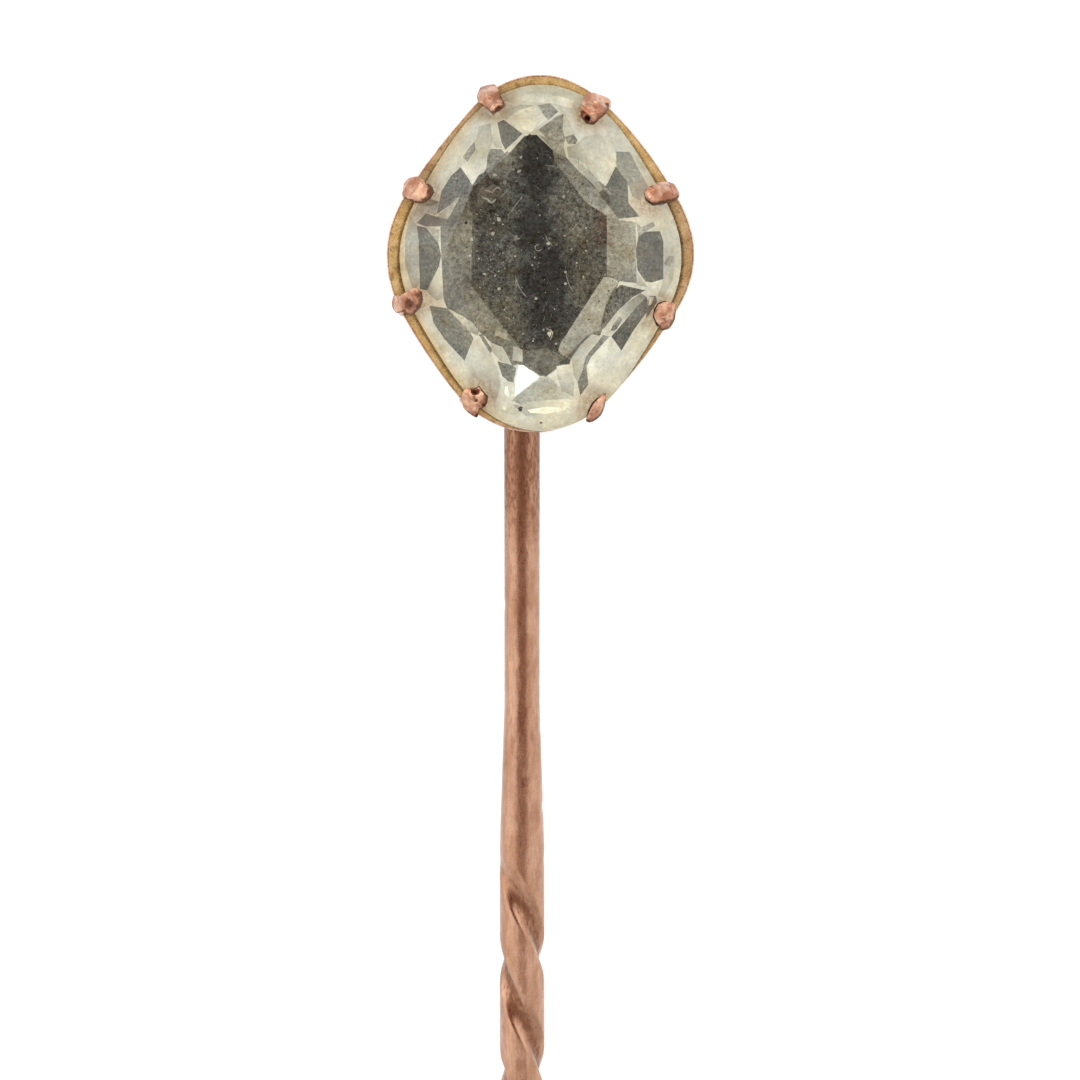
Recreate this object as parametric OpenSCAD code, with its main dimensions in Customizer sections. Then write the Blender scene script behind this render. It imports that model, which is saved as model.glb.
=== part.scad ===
// A stick pin lying face up: a claw-set stone in a closed, tapering cup, soldered to a stem with a
// twist in it. +Z points out of the stone's face, -Y runs down the stem to the point, and Z = 0 is the
// surface that it lies on. The origin is the middle of the cup's flat back, straight below the middle
// of the stone.

/* [Stone] */
// Width of the stone across its left and right corners
stone_width = 7.76; // [7.4:0.02:8]
// Length of the stone from its top corner to its bottom corner
stone_length = 9.52; // [9.2:0.02:9.8]
// Width of the stone across its slanting sides
stone_across = 7.76; // [7.5:0.02:8]
// Height of the crown, from the girdle to the table
crown_height = 0.95; // [0.8:0.05:1.1]
// Height of the girdle at the points of the main facets
girdle_height = 0.4; // [0.36:0.02:0.5]
// Depth of the pavilion, from the girdle to the culet
pavilion_depth = 2.4; // [2.2:0.05:2.5]
// Width of the long, narrow flat at the bottom of the stone
culet_width = 1.5; // [1.3:0.05:1.7]
// Length of that flat
culet_length = 4.8; // [4.4:0.1:5]

/* [Cup] */
// Height of the cup's rim above its back
rim_height = 4.2; // [4.1:0.05:4.6]
// Size of the cup's flat back, as a share of its rim
back_share = 0.62; // [0.58:0.01:0.66]
// Inner edge of the rim's bevel, as a share of the rim
mouth_share = 0.925; // [0.92:0.005:0.93]
// Depth of the bevel inside the rim
bevel_depth = 0.36; // [0.34:0.01:0.4]
// Thickness of the closed back
back_thickness = 0.4; // [0.3:0.05:0.45]

/* [Claws] */
// Height above the back at which the claws start on the cup's wall
claw_foot = 1.5; // [1.2:0.1:2.4]
// Clear gap between the stone and the metal
seat_gap = 0.03; // [0.03:0.005:0.04]

/* [Stem] */
// Distance from the stem's root, inside the cup's wall, to its point
stem_length = 53.9; // [50:0.1:60]
// Sideways place of the stem, left of the middle of the stone
stem_offset = -0.52; // [-0.7:0.01:-0.3]
// Radius of the wire next to the cup
neck_radius = 0.5; // [0.46:0.01:0.54]
// Radius of the thicker, twisted stretch
twist_radius = 0.63; // [0.58:0.01:0.64]
// Length along the stem at which the twist starts
twist_start = 13.4; // [12:0.1:16]
// Number of half turns in the twist
twist_half_turns = 4.5; // [3.5:0.5:5]
// Length of one half turn
twist_pitch = 3.16; // [3:0.02:3.3]
// Depth of the two twisted grooves, as a share of the radius
groove_share = 0.32; // [0.1:0.02:0.36]
// Radius of the plain round shank below the twist
shank_radius = 0.5; // [0.46:0.01:0.54]
// Length of the tapering point
point_length = 15; // [14:0.1:18]
// Slope of the stem down to the surface, in degrees
stem_slope = 2.05; // [2.05:0.01:2.4]

/* [Hidden] */

gold = [0.82, 0.56, 0.43];
straw = [0.86, 0.86, 0.74];
slop = 0.3;

// Heights of the stone's levels
girdle_low = rim_height + seat_gap;
girdle_top = girdle_low + girdle_height;
table_z = girdle_top + crown_height;
culet_z = girdle_low - pavilion_depth;

// One row for each of the eight main facets, anticlockwise from the right-hand corner: the angle of its
// point on the girdle, the angle and the radius of its corner of the table, and the drop of the crown
// at which it parts from the next one, as a share of the crown.
MAINS = [
    [2.6, 0.8, 2.54, 0.32],
    [56.1, 47.6, 2.56, 0.27],
    [96.1, 95.4, 3.33, 0.42],
    [127.6, 134.2, 2.62, 0.53],
    [180.1, 180.3, 2.68, 0.45],
    [237.8, 231.5, 2.71, 0.45],
    [269, 271.6, 3.33, 0.41],
    [304.2, 307.2, 2.72, 0.31],
];
GIRDLE_ANGLE = 0;
TABLE_ANGLE = 1;
TABLE_RADIUS = 2;
STAR_SHARE = 3;
mains = len(MAINS);
// Where two main facets of the pavilion part, as a share of its depth from the culet
lower_share = 0.5;
// Small facets along the girdle from one main facet to the next
girdle_steps = 8;

// One row for each claw, anticlockwise: its angle, the rim's radius there, the bulge of the rim from
// there to the next claw, how far the claw reaches over the stone, and the claw's width and thickness.
CLAWS = [
    [26.9, 4.13, 0.12, 0.40, 0.60, 0.36],
    [68.7, 4.69, 0.63, 0.58, 0.62, 0.36],
    [108.8, 4.81, 0.07, 0.42, 0.48, 0.36],
    [152.4, 4.13, 0.45, 0.32, 0.68, 0.36],
    [198.5, 4.16, 0.09, 0.38, 0.66, 0.36],
    [243.5, 4.58, 0.71, 0.34, 0.68, 0.30],
    [292.0, 4.43, 0.09, 0.20, 0.52, 0.20],
    [334.1, 3.97, 0.63, 0.34, 0.68, 0.28],
];
ANGLE = 0;
RIM_RADIUS = 1;
BULGE = 2;
REACH = 3;
WIDTH = 4;
THICKNESS = 5;
// Straight steps of the rim from one claw to the next
rim_steps = 7;
lip = 0.08;
lip_share = 0.985;
claw_sink = 0.12;
claw_sides = 10;

// The stem's stretches, as lengths from its root
neck_end = 9.4;
twist_end = twist_start + twist_half_turns * twist_pitch;
point_start = stem_length - point_length;
point_radius = 0.06;
shank_length = point_start - twist_end;
root_y = -3;
root_z = point_radius + (stem_length - point_radius) * sin(stem_slope);
groove_width = 40;
groove_fade = 1.6;
twist_sides = 24;
twist_rings_per_turn = 20;
solder_radius = 0.78;
solder_length = 1.5;

function lerp(a, b, t) = a + (b - a) * t;
function polar(radius, angle) = radius * [cos(angle), sin(angle)];
function smooth(t) = let (u = max(0, min(1, t))) u * u * (3 - 2 * u);

// The stone's outline is a circle with two waves on it: one makes it longer than wide, and the other
// squares it.
function stone_radius(a) =
    let (mean = (stone_width + stone_length) / 4, side = stone_across / 2)
    (mean + side) / 2 + (stone_width - stone_length) / 4 * cos(2 * a) + (mean - side) / 2 * cos(4 * a);
function stone_edge(a) = polar(stone_radius(a), a);
// How fast the radius grows with the angle, for each radian
function stone_growth(a) =
    let (mean = (stone_width + stone_length) / 4, side = stone_across / 2)
    (stone_length - stone_width) / 2 * sin(2 * a) - 2 * (mean - side) * sin(4 * a);
// A vector that points squarely out of the outline
function stone_out(a) =
    let (r = stone_radius(a), g = stone_growth(a))
    [r * cos(a) + g * sin(a), r * sin(a) - g * cos(a)];

// Angle of a point on the girdle, counted in steps from the first main facet
function girdle_angle(step) =
    let (k = floor(step / girdle_steps), t = step / girdle_steps - k, next = MAINS[(k + 1) % mains])
    lerp(MAINS[k][GIRDLE_ANGLE], next[GIRDLE_ANGLE] + (k + 1 == mains ? 360 : 0), t);

// A main facet falls from its inner corner to the girdle, squarely to the outline there. Its fall is a
// vector: the drop of each millimetre outwards.
function fall(corner, edge, out, height) = out * height / (out * (edge - corner));
// The point where two main facets have both dropped by the same amount
function meet(c0, f0, c1, f1, drop) =
    let (a = f0 * c0 + drop, b = f1 * c1 + drop)
    [a * f1.y - b * f0.y, b * f0.x - a * f1.x] / (f0.x * f1.y - f0.y * f1.x);
// The drop at a point of the plane through three points that each carry their own drop as a third number
function plane_drop(p, a, b, c) =
    let (n = cross(b - a, c - a))
    a.z - (n.x * (p.x - a.x) + n.y * (p.y - a.y)) / n.z;

// Half a stone, crown or pavilion, as points with their drop from the table or the culet: the inner
// corners, the points where main facets part, and the ring of points on the girdle.
function half_stone(corners, height, shares) =
    let (
        edges = [for (m = MAINS) stone_edge(m[GIRDLE_ANGLE])],
        falls = [for (k = [0:mains - 1])
            fall(corners[k], edges[k], stone_out(MAINS[k][GIRDLE_ANGLE]), height)],
        tips = [for (k = [0:mains - 1])
            let (
                n = (k + 1) % mains,
                drop = shares[k] * height,
                tip = meet(corners[k], falls[k], corners[n], falls[n], drop)
            )
            [tip.x, tip.y, drop]],
        ring = [for (step = [0:mains * girdle_steps - 1])
            let (p = stone_edge(girdle_angle(step)))
            [p.x, p.y, height]]
    )
    [[for (c = corners) [c.x, c.y, 0]], tips, ring];

CORNERS = 0;
TIPS = 1;
RING = 2;
table = [for (m = MAINS) polar(m[TABLE_RADIUS], m[TABLE_ANGLE])];
culet = [for (m = MAINS) [culet_width / 2 * cos(m[GIRDLE_ANGLE]), culet_length / 2 * sin(m[GIRDLE_ANGLE])]];
crown = half_stone(table, crown_height, [for (m = MAINS) m[STAR_SHARE]]);
pavilion = half_stone(culet, pavilion_depth, [for (m = MAINS) lower_share]);

// Faces of one half, seen from outside: the flat, the stars, the mains and the facets along the girdle
function half_faces(flip) =
    let (
        ring = mains * girdle_steps,
        tip = mains,
        edge = 2 * mains,
        faces = concat(
            [[for (k = [mains - 1:-1:0]) k]],
            [for (k = [0:mains - 1]) [k, (k + 1) % mains, tip + k]],
            [for (k = [0:mains - 1])
                [k, tip + k, edge + k * girdle_steps, tip + (k + mains - 1) % mains]],
            [for (k = [0:mains - 1]) for (j = [k * girdle_steps:(k + 1) * girdle_steps - 1])
                [tip + k, edge + (j + 1) % ring, edge + j]]
        )
    )
    flip ? [for (f = faces) [for (j = [len(f) - 1:-1:0]) f[j]]] : faces;

// The cut stone, grown by a margin on every side. With no margin it is the stone itself.
module cut_stone(margin) {
    ring = mains * girdle_steps;
    count = 2 * mains + ring;
    wide = 1 + margin / (stone_across / 2);
    tall = 1 + margin / crown_height;
    middle = lerp(girdle_low, girdle_top, 0.5);
    top = [for (part = crown) for (p = part)
        [p.x * wide, p.y * wide, middle + (table_z - p.z - middle) * tall]];
    bottom = [for (part = pavilion) for (p = part)
        [p.x * wide, p.y * wide, middle + (culet_z + p.z - middle) * tall]];
    band = [for (j = [0:ring - 1])
        let (n = (j + 1) % ring)
        [2 * mains + j, 2 * mains + n, count + 2 * mains + n, count + 2 * mains + j]];
    low_faces = [for (f = half_faces(true)) [for (i = f) i + count]];
    polyhedron(points = concat(top, bottom), faces = concat(half_faces(false), band, low_faces));
}

module stone() {
    color(straw) cut_stone(0);
}

// A closed skin through a row of rings that all have the same number of points, anticlockwise along the row
module skin(rings) {
    n = len(rings[0]);
    last = (len(rings) - 1) * n;
    sides = [for (i = [0:len(rings) - 2]) for (j = [0:n - 1])
        let (a = i * n + j, b = i * n + (j + 1) % n)
        each [[a, a + n, b], [b, a + n, b + n]]];
    ends = [[for (j = [0:n - 1]) j], [for (j = [n - 1:-1:0]) last + j]];
    polyhedron(points = [for (r = rings) each r], faces = concat(sides, ends));
}

// The rim is eight shallow arcs, one from each claw to the next.
rim = [for (i = [0:len(CLAWS) - 1]) for (j = [0:rim_steps - 1])
    let (
        t = j / rim_steps,
        row = CLAWS[i],
        next = CLAWS[(i + 1) % len(CLAWS)],
        p = polar(row[RIM_RADIUS], row[ANGLE]),
        q = polar(next[RIM_RADIUS], next[ANGLE]),
        out = [(q - p).y, -(q - p).x] / norm(q - p)
    )
    lerp(p, q, t) + out * row[BULGE] * 4 * t * (1 - t)];
function rim_ring(share, z) = [for (p = rim) [p.x * share, p.y * share, z]];
// The wall's outside, as a share of the rim
function wall_share(z) = lerp(back_share, 1, z / rim_height);

module cup_outside() {
    skin([
        rim_ring(back_share, 0),
        rim_ring(wall_share(rim_height - lip), rim_height - lip),
        rim_ring(lip_share, rim_height)
    ]);
}

module cup_inside() {
    mouth_z = rim_height - bevel_depth;
    bevel_slope = (lip_share - mouth_share) / bevel_depth;
    skin([
        rim_ring(back_share - 0.07, back_thickness),
        rim_ring(mouth_share, mouth_z),
        rim_ring(mouth_share + bevel_slope * (bevel_depth + slop), rim_height + slop)
    ]);
}

// Height of the crown's surface above a point: the lowest of the small facets along the girdle
function crown_z(p) =
    let (ring = crown[RING])
    table_z - max([for (k = [0:mains - 1]) for (j = [k * girdle_steps:(k + 1) * girdle_steps - 1])
        plane_drop(p, crown[TIPS][k], ring[j], ring[(j + 1) % len(ring)])]);

// A claw's middle line, as radius and height, from its foot on the wall, up past the girdle and over
// the stone's edge to its tip. It runs a little too close to the stone, which the setting then has cut
// out of it.
function claw_path(row) =
    let (
        a = row[ANGLE],
        half = row[THICKNESS] / 2,
        bite = 0.7 * half,
        edge = stone_radius(a),
        tip = edge - row[REACH],
        bed = [for (r = [lerp(edge, tip, 0.55), tip]) crown_z(polar(r, a))],
        seat = max(row[RIM_RADIUS] - 0.05, edge + seat_gap + bite),
        foot = row[RIM_RADIUS] * wall_share(claw_foot) + half - claw_sink,
        wall = row[RIM_RADIUS] * wall_share(rim_height - 0.7) + half - claw_sink
    )
    [
        [foot - 0.1, claw_foot - 0.2],
        [foot, claw_foot],
        [wall, rim_height - 0.7],
        [seat, girdle_low - 0.05],
        [seat, girdle_top],
        [lerp(edge, seat, 0.6), girdle_top + bite],
        [lerp(edge, tip, 0.55), bed[0] + 1.2 * bite],
        [tip, bed[1] + 0.9 * bite]
    ];
// Size of the claw's section along that line
CLAW_SWELL = [0.45, 0.8, 1, 1, 1, 1, 0.95, 0.65];

module claw(row) {
    path = claw_path(row);
    last = len(path) - 1;
    across = [-sin(row[ANGLE]), cos(row[ANGLE]), 0];
    skin([for (i = [0:last])
        let (
            way = path[min(last, i + 1)] - path[max(0, i - 1)],
            out = [way.y, -way.x] / norm(way),
            middle = polar(path[i][0], row[ANGLE])
        )
        [for (j = [0:claw_sides - 1])
            let (
                psi = 360 * j / claw_sides,
                o = out * cos(psi) * row[THICKNESS] / 2 * CLAW_SWELL[i],
                side = polar(o[0], row[ANGLE])
            )
            [middle.x + side.x, middle.y + side.y, path[i][1] + o[1]]
                + across * sin(psi) * row[WIDTH] / 2 * CLAW_SWELL[i]]]);
}

// One ring of the twisted stretch. Its two grooves turn with it and fade out at both ends.
function twist_ring(z) =
    let (
        from_end = min(z - twist_start, twist_end - z),
        depth = groove_share * smooth(from_end / groove_fade),
        radius = twist_radius * lerp(0.96, 1, smooth(from_end / 0.5)),
        turn = -180 * (z - twist_start) / twist_pitch
    )
    [for (j = [0:twist_sides - 1])
        let (
            a = 360 * j / twist_sides,
            off = min(a % 180, 180 - a % 180),
            cut = off < groove_width ? depth * cos(90 * off / groove_width) : 0,
            p = polar(radius * (1 - cut), a + turn)
        )
        [p.x, p.y, z]];

// The stem along its own axis, root at 0: neck, swelling, twist, shank and point
module straight_stem() {
    cylinder(h = neck_end, r = neck_radius, $fn = 48);
    cylinder(h = solder_length, r1 = solder_radius + 0.12, r2 = neck_radius - 0.02, $fn = 48);
    translate([0, 0, neck_end]) cylinder(
        h = twist_start + slop - neck_end, r1 = neck_radius, r2 = twist_radius, $fn = 48);
    steps = ceil(twist_half_turns / 2 * twist_rings_per_turn);
    skin([for (i = [0:steps]) twist_ring(lerp(twist_start, twist_end, i / steps))]);
    translate([0, 0, twist_end - slop]) cylinder(h = shank_length + slop, r = shank_radius, $fn = 48);
    translate([0, 0, point_start]) cylinder(
        h = point_length - point_radius, r1 = shank_radius, r2 = point_radius, $fn = 48);
    translate([0, 0, stem_length - point_radius]) sphere(r = point_radius, $fn = 24);
}

module setting() {
    color(gold) difference() {
        union() {
            difference() {
                union() {
                    cup_outside();
                    translate([stem_offset, root_y, root_z]) rotate([90 + stem_slope, 0, 0]) straight_stem();
                }
                cup_inside();
            }
            for (row = CLAWS) claw(row);
        }
        cut_stone(seat_gap);
    }
}

setting();
stone();
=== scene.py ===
"""An antique stick pin: a faceted pale stone in a claw-set gold cup, on a stem with a left-handed twist.

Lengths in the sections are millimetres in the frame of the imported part, and MM turns them into metres where
a mesh is made. The stone faces +Z, the stem runs down -Y, and Z = 0 is the surface that the pin lies on.
"""

import bpy
import numpy as np
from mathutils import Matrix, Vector
from mathutils.geometry import delaunay_2d_cdt


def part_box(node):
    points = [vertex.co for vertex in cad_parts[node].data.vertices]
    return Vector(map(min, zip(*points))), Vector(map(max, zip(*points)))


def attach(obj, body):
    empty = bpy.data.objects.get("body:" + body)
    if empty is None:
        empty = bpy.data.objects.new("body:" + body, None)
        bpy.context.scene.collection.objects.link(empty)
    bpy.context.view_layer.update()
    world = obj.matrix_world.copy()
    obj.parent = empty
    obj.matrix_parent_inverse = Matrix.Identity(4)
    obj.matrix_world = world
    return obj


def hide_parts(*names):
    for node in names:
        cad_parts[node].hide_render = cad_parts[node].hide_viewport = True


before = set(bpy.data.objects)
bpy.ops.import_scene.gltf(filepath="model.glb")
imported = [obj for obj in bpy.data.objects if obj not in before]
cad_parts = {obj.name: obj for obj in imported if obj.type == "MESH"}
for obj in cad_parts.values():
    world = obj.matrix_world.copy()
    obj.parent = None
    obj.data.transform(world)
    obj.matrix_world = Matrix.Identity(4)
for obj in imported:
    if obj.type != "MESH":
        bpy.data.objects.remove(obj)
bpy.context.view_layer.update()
MM = 0.001

# The stone. A clear, faintly straw-green stone or paste, cut by hand as a cushion turned on its corner, with
# a table, a crown of facets and a pavilion that ends in a long flat. Its back is foiled, and the foil has
# gone dull. The claws and the edge of the cup hold it.
stone_low, stone_high = (np.array(corner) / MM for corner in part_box("stone"))
STONE_WIDTH, STONE_LENGTH = (stone_high - stone_low)[:2]
STONE_ACROSS = 7.76
TABLE_Z, CULET_Z = stone_high[2], stone_low[2]
CROWN_HEIGHT = 0.95
GIRDLE_HEIGHT = 0.4
GIRDLE_TOP = TABLE_Z - CROWN_HEIGHT
GIRDLE_LOW = GIRDLE_TOP - GIRDLE_HEIGHT
CULET_WIDTH, CULET_LENGTH = 1.5, 4.8
LOWER_SHARE = 0.5
GIRDLE_STEPS = 20
# One column for each main facet, anticlockwise from the right-hand corner: the angle of its point on the
# girdle, the angle and the radius of its corner of the table, and the share of the crown's height where it
# parts from the next.
MAIN_ANGLE = np.radians([2.6, 56.1, 96.1, 127.6, 180.1, 237.8, 269.0, 304.2])
TABLE_ANGLE = np.radians([0.8, 47.6, 95.4, 134.2, 180.3, 231.5, 271.6, 307.2])
TABLE_RADIUS = np.array([2.54, 2.56, 3.33, 2.62, 2.68, 2.71, 3.33, 2.72])
STAR_SHARE = np.array([0.32, 0.27, 0.42, 0.53, 0.45, 0.45, 0.41, 0.31])
# What the crown mirrors from the facets below it: how bright each patch looks, and its outline as x, y, x, y
# and so on. A later patch lies over an earlier one, and the rest of the crown has the first brightness. The
# outlines were drawn over the photograph. The brightness of all but the last three was measured in it, inside
# each outline, and then moved by how far a render differed from it there.
# The patches are painted reflections: the light and shade that the crown shows of the facets under it is
# painted into the stone's colour, one brightness for each face.
REST_SHADE = 0.62
PATCHES = [
    (0.18, [-0.3, 3.33, 1.78, 1.9, 2.13, 1, 2.63, 0.04, 2.13, -0.75, 1.64, -2.17, 0.55, -3.02, 0.14, -3.32,
     -0.6, -2.97, -1.67, -2.09, -2.19, -0.94, -2.71, -0.01, -2.74, 0.78, -1.81, 1.9]),
    (0.07, [-0.44, 3.27, -0.11, 3.3, 0.33, 2.89, 0.38, 2.62, 1.23, 1.44, 1.81, 1.08, 1.81, -0.56, 1.37,
     -1.13, 0.55, -2.39, 0.47, -2.64, 0.71, -2.78, 0.44, -3.08, 0.14, -3.29, 0, -3.29, -0.49, -2.97, -0.52,
     -2.58, -1.48, -1.38, -1.89, -0.8, -1.86, 1.11, -1.92, 1.63, -1.64, 2.23, -1.18, 2.12, -0.88, 2.18,
     -0.77, 2.89]),
    (0.15, [-0.52, -2.64, 0.14, -2.53, 0.47, -2.67, 0.71, -2.78, 0.44, -3.08, 0.14, -3.29, 0, -3.29, -0.49,
     -2.97]),
    (0.18, [-0.9, 2.86, -0.77, 2.67, -0.79, 2.29, -1.18, 2.07, -1.56, 2.26, -1.42, 2.48]),
    (0.12, [-1.59, 2.26, -1.37, 2.18, -1.18, 1.9, -1.31, 1.52, -1.64, 1.14, -1.92, 1.19, -1.97, 1.6, -1.81,
     1.88]),
    (0.12, [-1.18, 3.66, -1.01, 3.74, -0.49, 3.33, -0.96, 2.89, -1.07, 3.11]),
    (0.5, [-1.31, 3.41, -1.15, 3.33, -1.04, 2.94, -1.2, 2.94, -1.34, 3.14]),
    (0.22, [-1.37, 2.92, -1.07, 2.92, -0.99, 2.81, -1.31, 2.48, -1.48, 2.4, -1.45, 2.75]),
    (0.3, [-0.05, 3.44, 0.47, 3.85, 0.63, 3.88, 0.6, 3.44, 0.68, 3.22, 0.63, 2.97, 0.16, 3.22]),
    (0.34, [-0.05, 3.3, 0.16, 3.22, 0.63, 2.97, 0.71, 2.67, 0.36, 2.86]),
    (0.66, [-0.3, 3.36, -0.96, 3.71, -0.6, 4.04, -0.27, 4.15, 0, 4.07, 0.16, 3.71]),
    (0.26, [-0.08, 4.15, 0.27, 4.2, 0.49, 3.96, 0.22, 3.71, 0.08, 3.88]),
    (0.46, [-0.96, 3.77, -0.96, 4.04, -0.55, 4.18, -0.16, 4.15, -0.6, 4.01]),
    (0.55, [-1.81, 1.93, -1.97, 2.18, -2.19, 2.48, -1.97, 2.67, -1.81, 3, -1.7, 3.57, -1.37, 3.66, -1.31,
     3.16, -1.45, 2.7, -1.61, 2.29]),
    (0.26, [-1.81, 3.16, -1.78, 2.92, -2, 2.59, -2.13, 2.73, -1.97, 2.97]),
    (0.09, [-2.19, 2.45, -1.92, 2.04, -1.97, 1.71, -2.22, 1.58, -2.85, 1.14, -2.71, 1.8, -2.46, 2.21]),
    (0.15, [-1.92, 2.01, -1.81, 1.88, -1.97, 1.6, -2, 1.14, -2.41, 0.81, -2.6, 0.81, -2.49, 1.08, -2.22,
     1.58, -1.97, 1.71]),
    (0.38, [-2.22, 1.63, -2.27, 1.47, -2.55, 1, -2.85, 1.08]),
    (0.18, [-2.85, 1.08, -2.55, 1, -2.6, 0.81, -3.12, 0.81, -3.39, 0.92, -3.15, 1.19]),
    (0.34, [-3.12, 0.81, -2.76, 0.73, -2.79, 0.34]),
    (0.12, [-3.42, 0.86, -3.12, 0.78, -2.79, 0.34, -2.71, -0.01, -2.79, -0.34, -3.09, -0.94, -3.31, -0.89,
     -3.34, 0.43]),
    (0.5, [-2.79, -0.31, -2.71, -0.34, -2.65, -1.16, -2.85, -1.22, -3.12, -0.97]),
    (0.15, [-2.71, -0.01, -2.19, -0.94, -1.7, -2.04, -2.13, -1.65, -2.55, -1.43, -2.65, -1.19]),
    (0.42, [-3.59, 1.19, -3.39, 0.84, -3.34, 0.43, -3.31, -0.72, -3.5, -0.94, -3.72, -0.18, -3.72, 0.56]),
    (0.18, [-3.04, -1.35, -2.55, -1.43, -2.19, -1.82, -1.92, -2.09, -1.83, -2.26, -2.08, -2.86, -2.63,
     -2.26, -2.93, -1.82]),
    (0.38, [-2.55, -1.43, -2.13, -1.65, -1.86, -1.84, -1.67, -2.06, -1.72, -2.2, -1.92, -2.09, -2.19,
     -1.82]),
    (0.5, [-1.7, -2.2, -1.37, -2.64, -1.15, -3.13, -1.09, -3.54, -1.23, -4.01, -1.64, -3.54, -2.11, -2.91,
     -1.92, -2.45]),
    (0.18, [-1.7, -2.15, -1.59, -2.15, -1.31, -2.58, -1.37, -2.67]),
    (0.2, [-2.22, -0.94, -1.89, -0.8, -1.48, -1.38, -0.74, -2.34, -0.49, -2.64, -0.52, -2.91, -0.77, -3.02,
     -0.88, -2.78, -1.37, -2.36, -1.67, -2.06]),
    (0.34, [-1.2, -1.93, -0.93, -2.04, -0.9, -2.31, -1.26, -2.17]),
    (0.46, [-1.4, -2.36, -1.04, -2.5, -0.88, -2.78, -0.79, -2.99, -1.09, -2.88, -1.31, -2.64]),
    (0.46, [-0.74, -2.47, -0.49, -2.58, -0.49, -2.91, -0.77, -2.86]),
    (0.18, [-1.18, -2.88, -0.79, -2.99, -0.66, -3.08, -0.74, -3.46, -0.88, -3.43, -1.04, -3.29]),
    # Painted highlights: small white glints.
    (1, [-0.6, -2.99, -0.47, -2.99, -0.03, -3.32, -0.71, -3.84, -0.68, -3.4]),
    (0.9, [-0.96, -3.57, -0.9, -3.57, -0.82, -3.9, -0.93, -3.87, -0.99, -3.73]),
    (0.72, [-1.01, -3.98, -0.93, -4.06, -0.96, -4.23, -1.04, -4.17]),
    (0.4, [0, -3.35, 0.22, -3.29, 0.71, -3.76, 0.77, -3.9, 0.22, -3.98, -0.27, -3.98, -0.55, -4.06, -0.79,
     -3.95, -0.68, -3.84]),
    (0.55, [-0.55, -4.06, -0.27, -3.98, 0.71, -3.9, 0.88, -3.95, 0.55, -4.31, -0.41, -4.36, -0.77, -4.06]),
    # A painted highlight.
    (0.9, [-0.36, -4.2, 0.14, -4.12, 0.55, -4.14, 0.6, -4.23, 0.14, -4.31, -0.27, -4.28]),
    (0.5, [0.44, -3.02, 0.79, -2.99, 0.93, -3.46, 0.9, -3.84, 0.57, -3.68, 0.47, -3.35]),
    (0.05, [0.49, -2.94, 0.74, -2.78, 0.85, -2.78, 0.79, -2.97, 0.55, -2.99]),
    (0.35, [1.72, -0.59, 2.08, -0.59, 2.13, -0.75, 1.97, -0.94, 1.75, -1.43, 1.67, -1.76, 1.59, -2.04, 1.31,
     -2.15, 0.82, -2.64, 0.63, -2.75, 0.49, -2.58, 0.55, -2.39, 0.96, -1.76, 1.37, -1.13]),
    (0.15, [1.29, -2.15, 1.4, -2.17, 0.79, -2.88, 0.74, -2.75]),
    (0.46, [1.4, -2.15, 1.64, -2.2, 1.23, -2.72, 1.15, -3.19, 1.01, -3.46, 0.9, -3.24, 0.85, -2.8, 1.09,
     -2.45]),
    (0.2, [1.7, -2.17, 1.89, -2.2, 1.37, -2.78, 1.26, -3.02, 1.31, -3.51, 1.09, -3.81, 1.01, -3.46, 1.15,
     -3.13, 1.23, -2.75, 1.56, -2.36]),
    (0.62, [1.89, -2.2, 2.19, -2.56, 2.24, -2.64, 2.08, -2.99, 1.64, -3.54, 1.42, -3.65, 1.31, -3.05, 1.37,
     -2.8]),
    (0.12, [2.9, -1.11, 2.96, -1.27, 2.9, -1.54, 2.54, -2.04, 2.22, -2.58, 1.94, -2.2, 2.08, -2.04, 2.54,
     -1.49]),
    (0.42, [2.74, -1.02, 2.9, -1.11, 2.54, -1.49, 1.94, -2.15, 1.83, -2.2, 1.67, -2.09, 1.97, -1.71, 2.19,
     -1.41]),
    (0.18, [1.97, -1.9, 2.16, -1.65, 2.24, -1.74, 2.08, -2.01, 1.92, -2.06]),
    (0.09, [2.19, -0.8, 2.87, -0.94, 2.52, -1.13, 2.13, -1.49, 1.72, -2.01, 1.64, -1.9, 1.75, -1.49, 1.97,
     -1]),
    (0.2, [2.98, -1.08, 3.17, -1.08, 3.2, -1.24, 2.9, -1.71, 2.9, -1.38]),
    (0.6, [2.98, -1.11, 3.12, -1.11, 3.04, -1.3, 2.96, -1.35]),
    (0.6, [2.76, -1.82, 3.06, -1.71, 3.12, -1.93, 2.9, -2.23, 2.74, -2.12]),
    (0.5, [3.34, 0.54, 3.39, 1.08, 3.58, 0.86, 3.69, 0.15, 3.64, -0.61, 3.37, -1.13, 3.2, -1.08, 3.34,
     -0.72, 3.37, -0.18]),
    (0.38, [3.39, -0.18, 3.5, 0.02, 3.67, 0.04, 3.67, -0.12, 3.58, -0.26, 3.45, -0.26]),
    (0.12, [2.68, 0.54, 2.87, 0.67, 3.28, 0.7, 3.37, 0.43, 3.37, -0.61, 3.06, -0.72, 2.87, -0.7, 2.65,
     -0.39, 2.6, 0.15]),
    (0.34, [2.6, 0.95, 2.76, 0.78, 3.09, 0.95, 3.15, 0.84, 2.87, 0.67, 2.68, 0.51]),
    (0.46, [2.63, -0.42, 2.74, -0.61, 2.93, -0.86, 2.63, -0.8]),
    (0.56, [2.46, 0.29, 2.57, 0.34, 2.6, -0.18, 2.52, -0.15, 2.44, 0.13]),
    (0.27, [1.81, 0.48, 1.83, 1.08, 2.13, 0.97, 2.6, 0.92, 2.63, -0.75, 2.13, -0.7, 1.81, -0.56]),
    (0.12, [1.78, 1.9, 1.86, 2.04, 2.05, 2.45, 2.24, 2.4, 2.38, 2.07, 2.41, 1.44, 2.71, 1.08, 2.13, 1, 1.86,
     1.38, 1.7, 1.71]),
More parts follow.
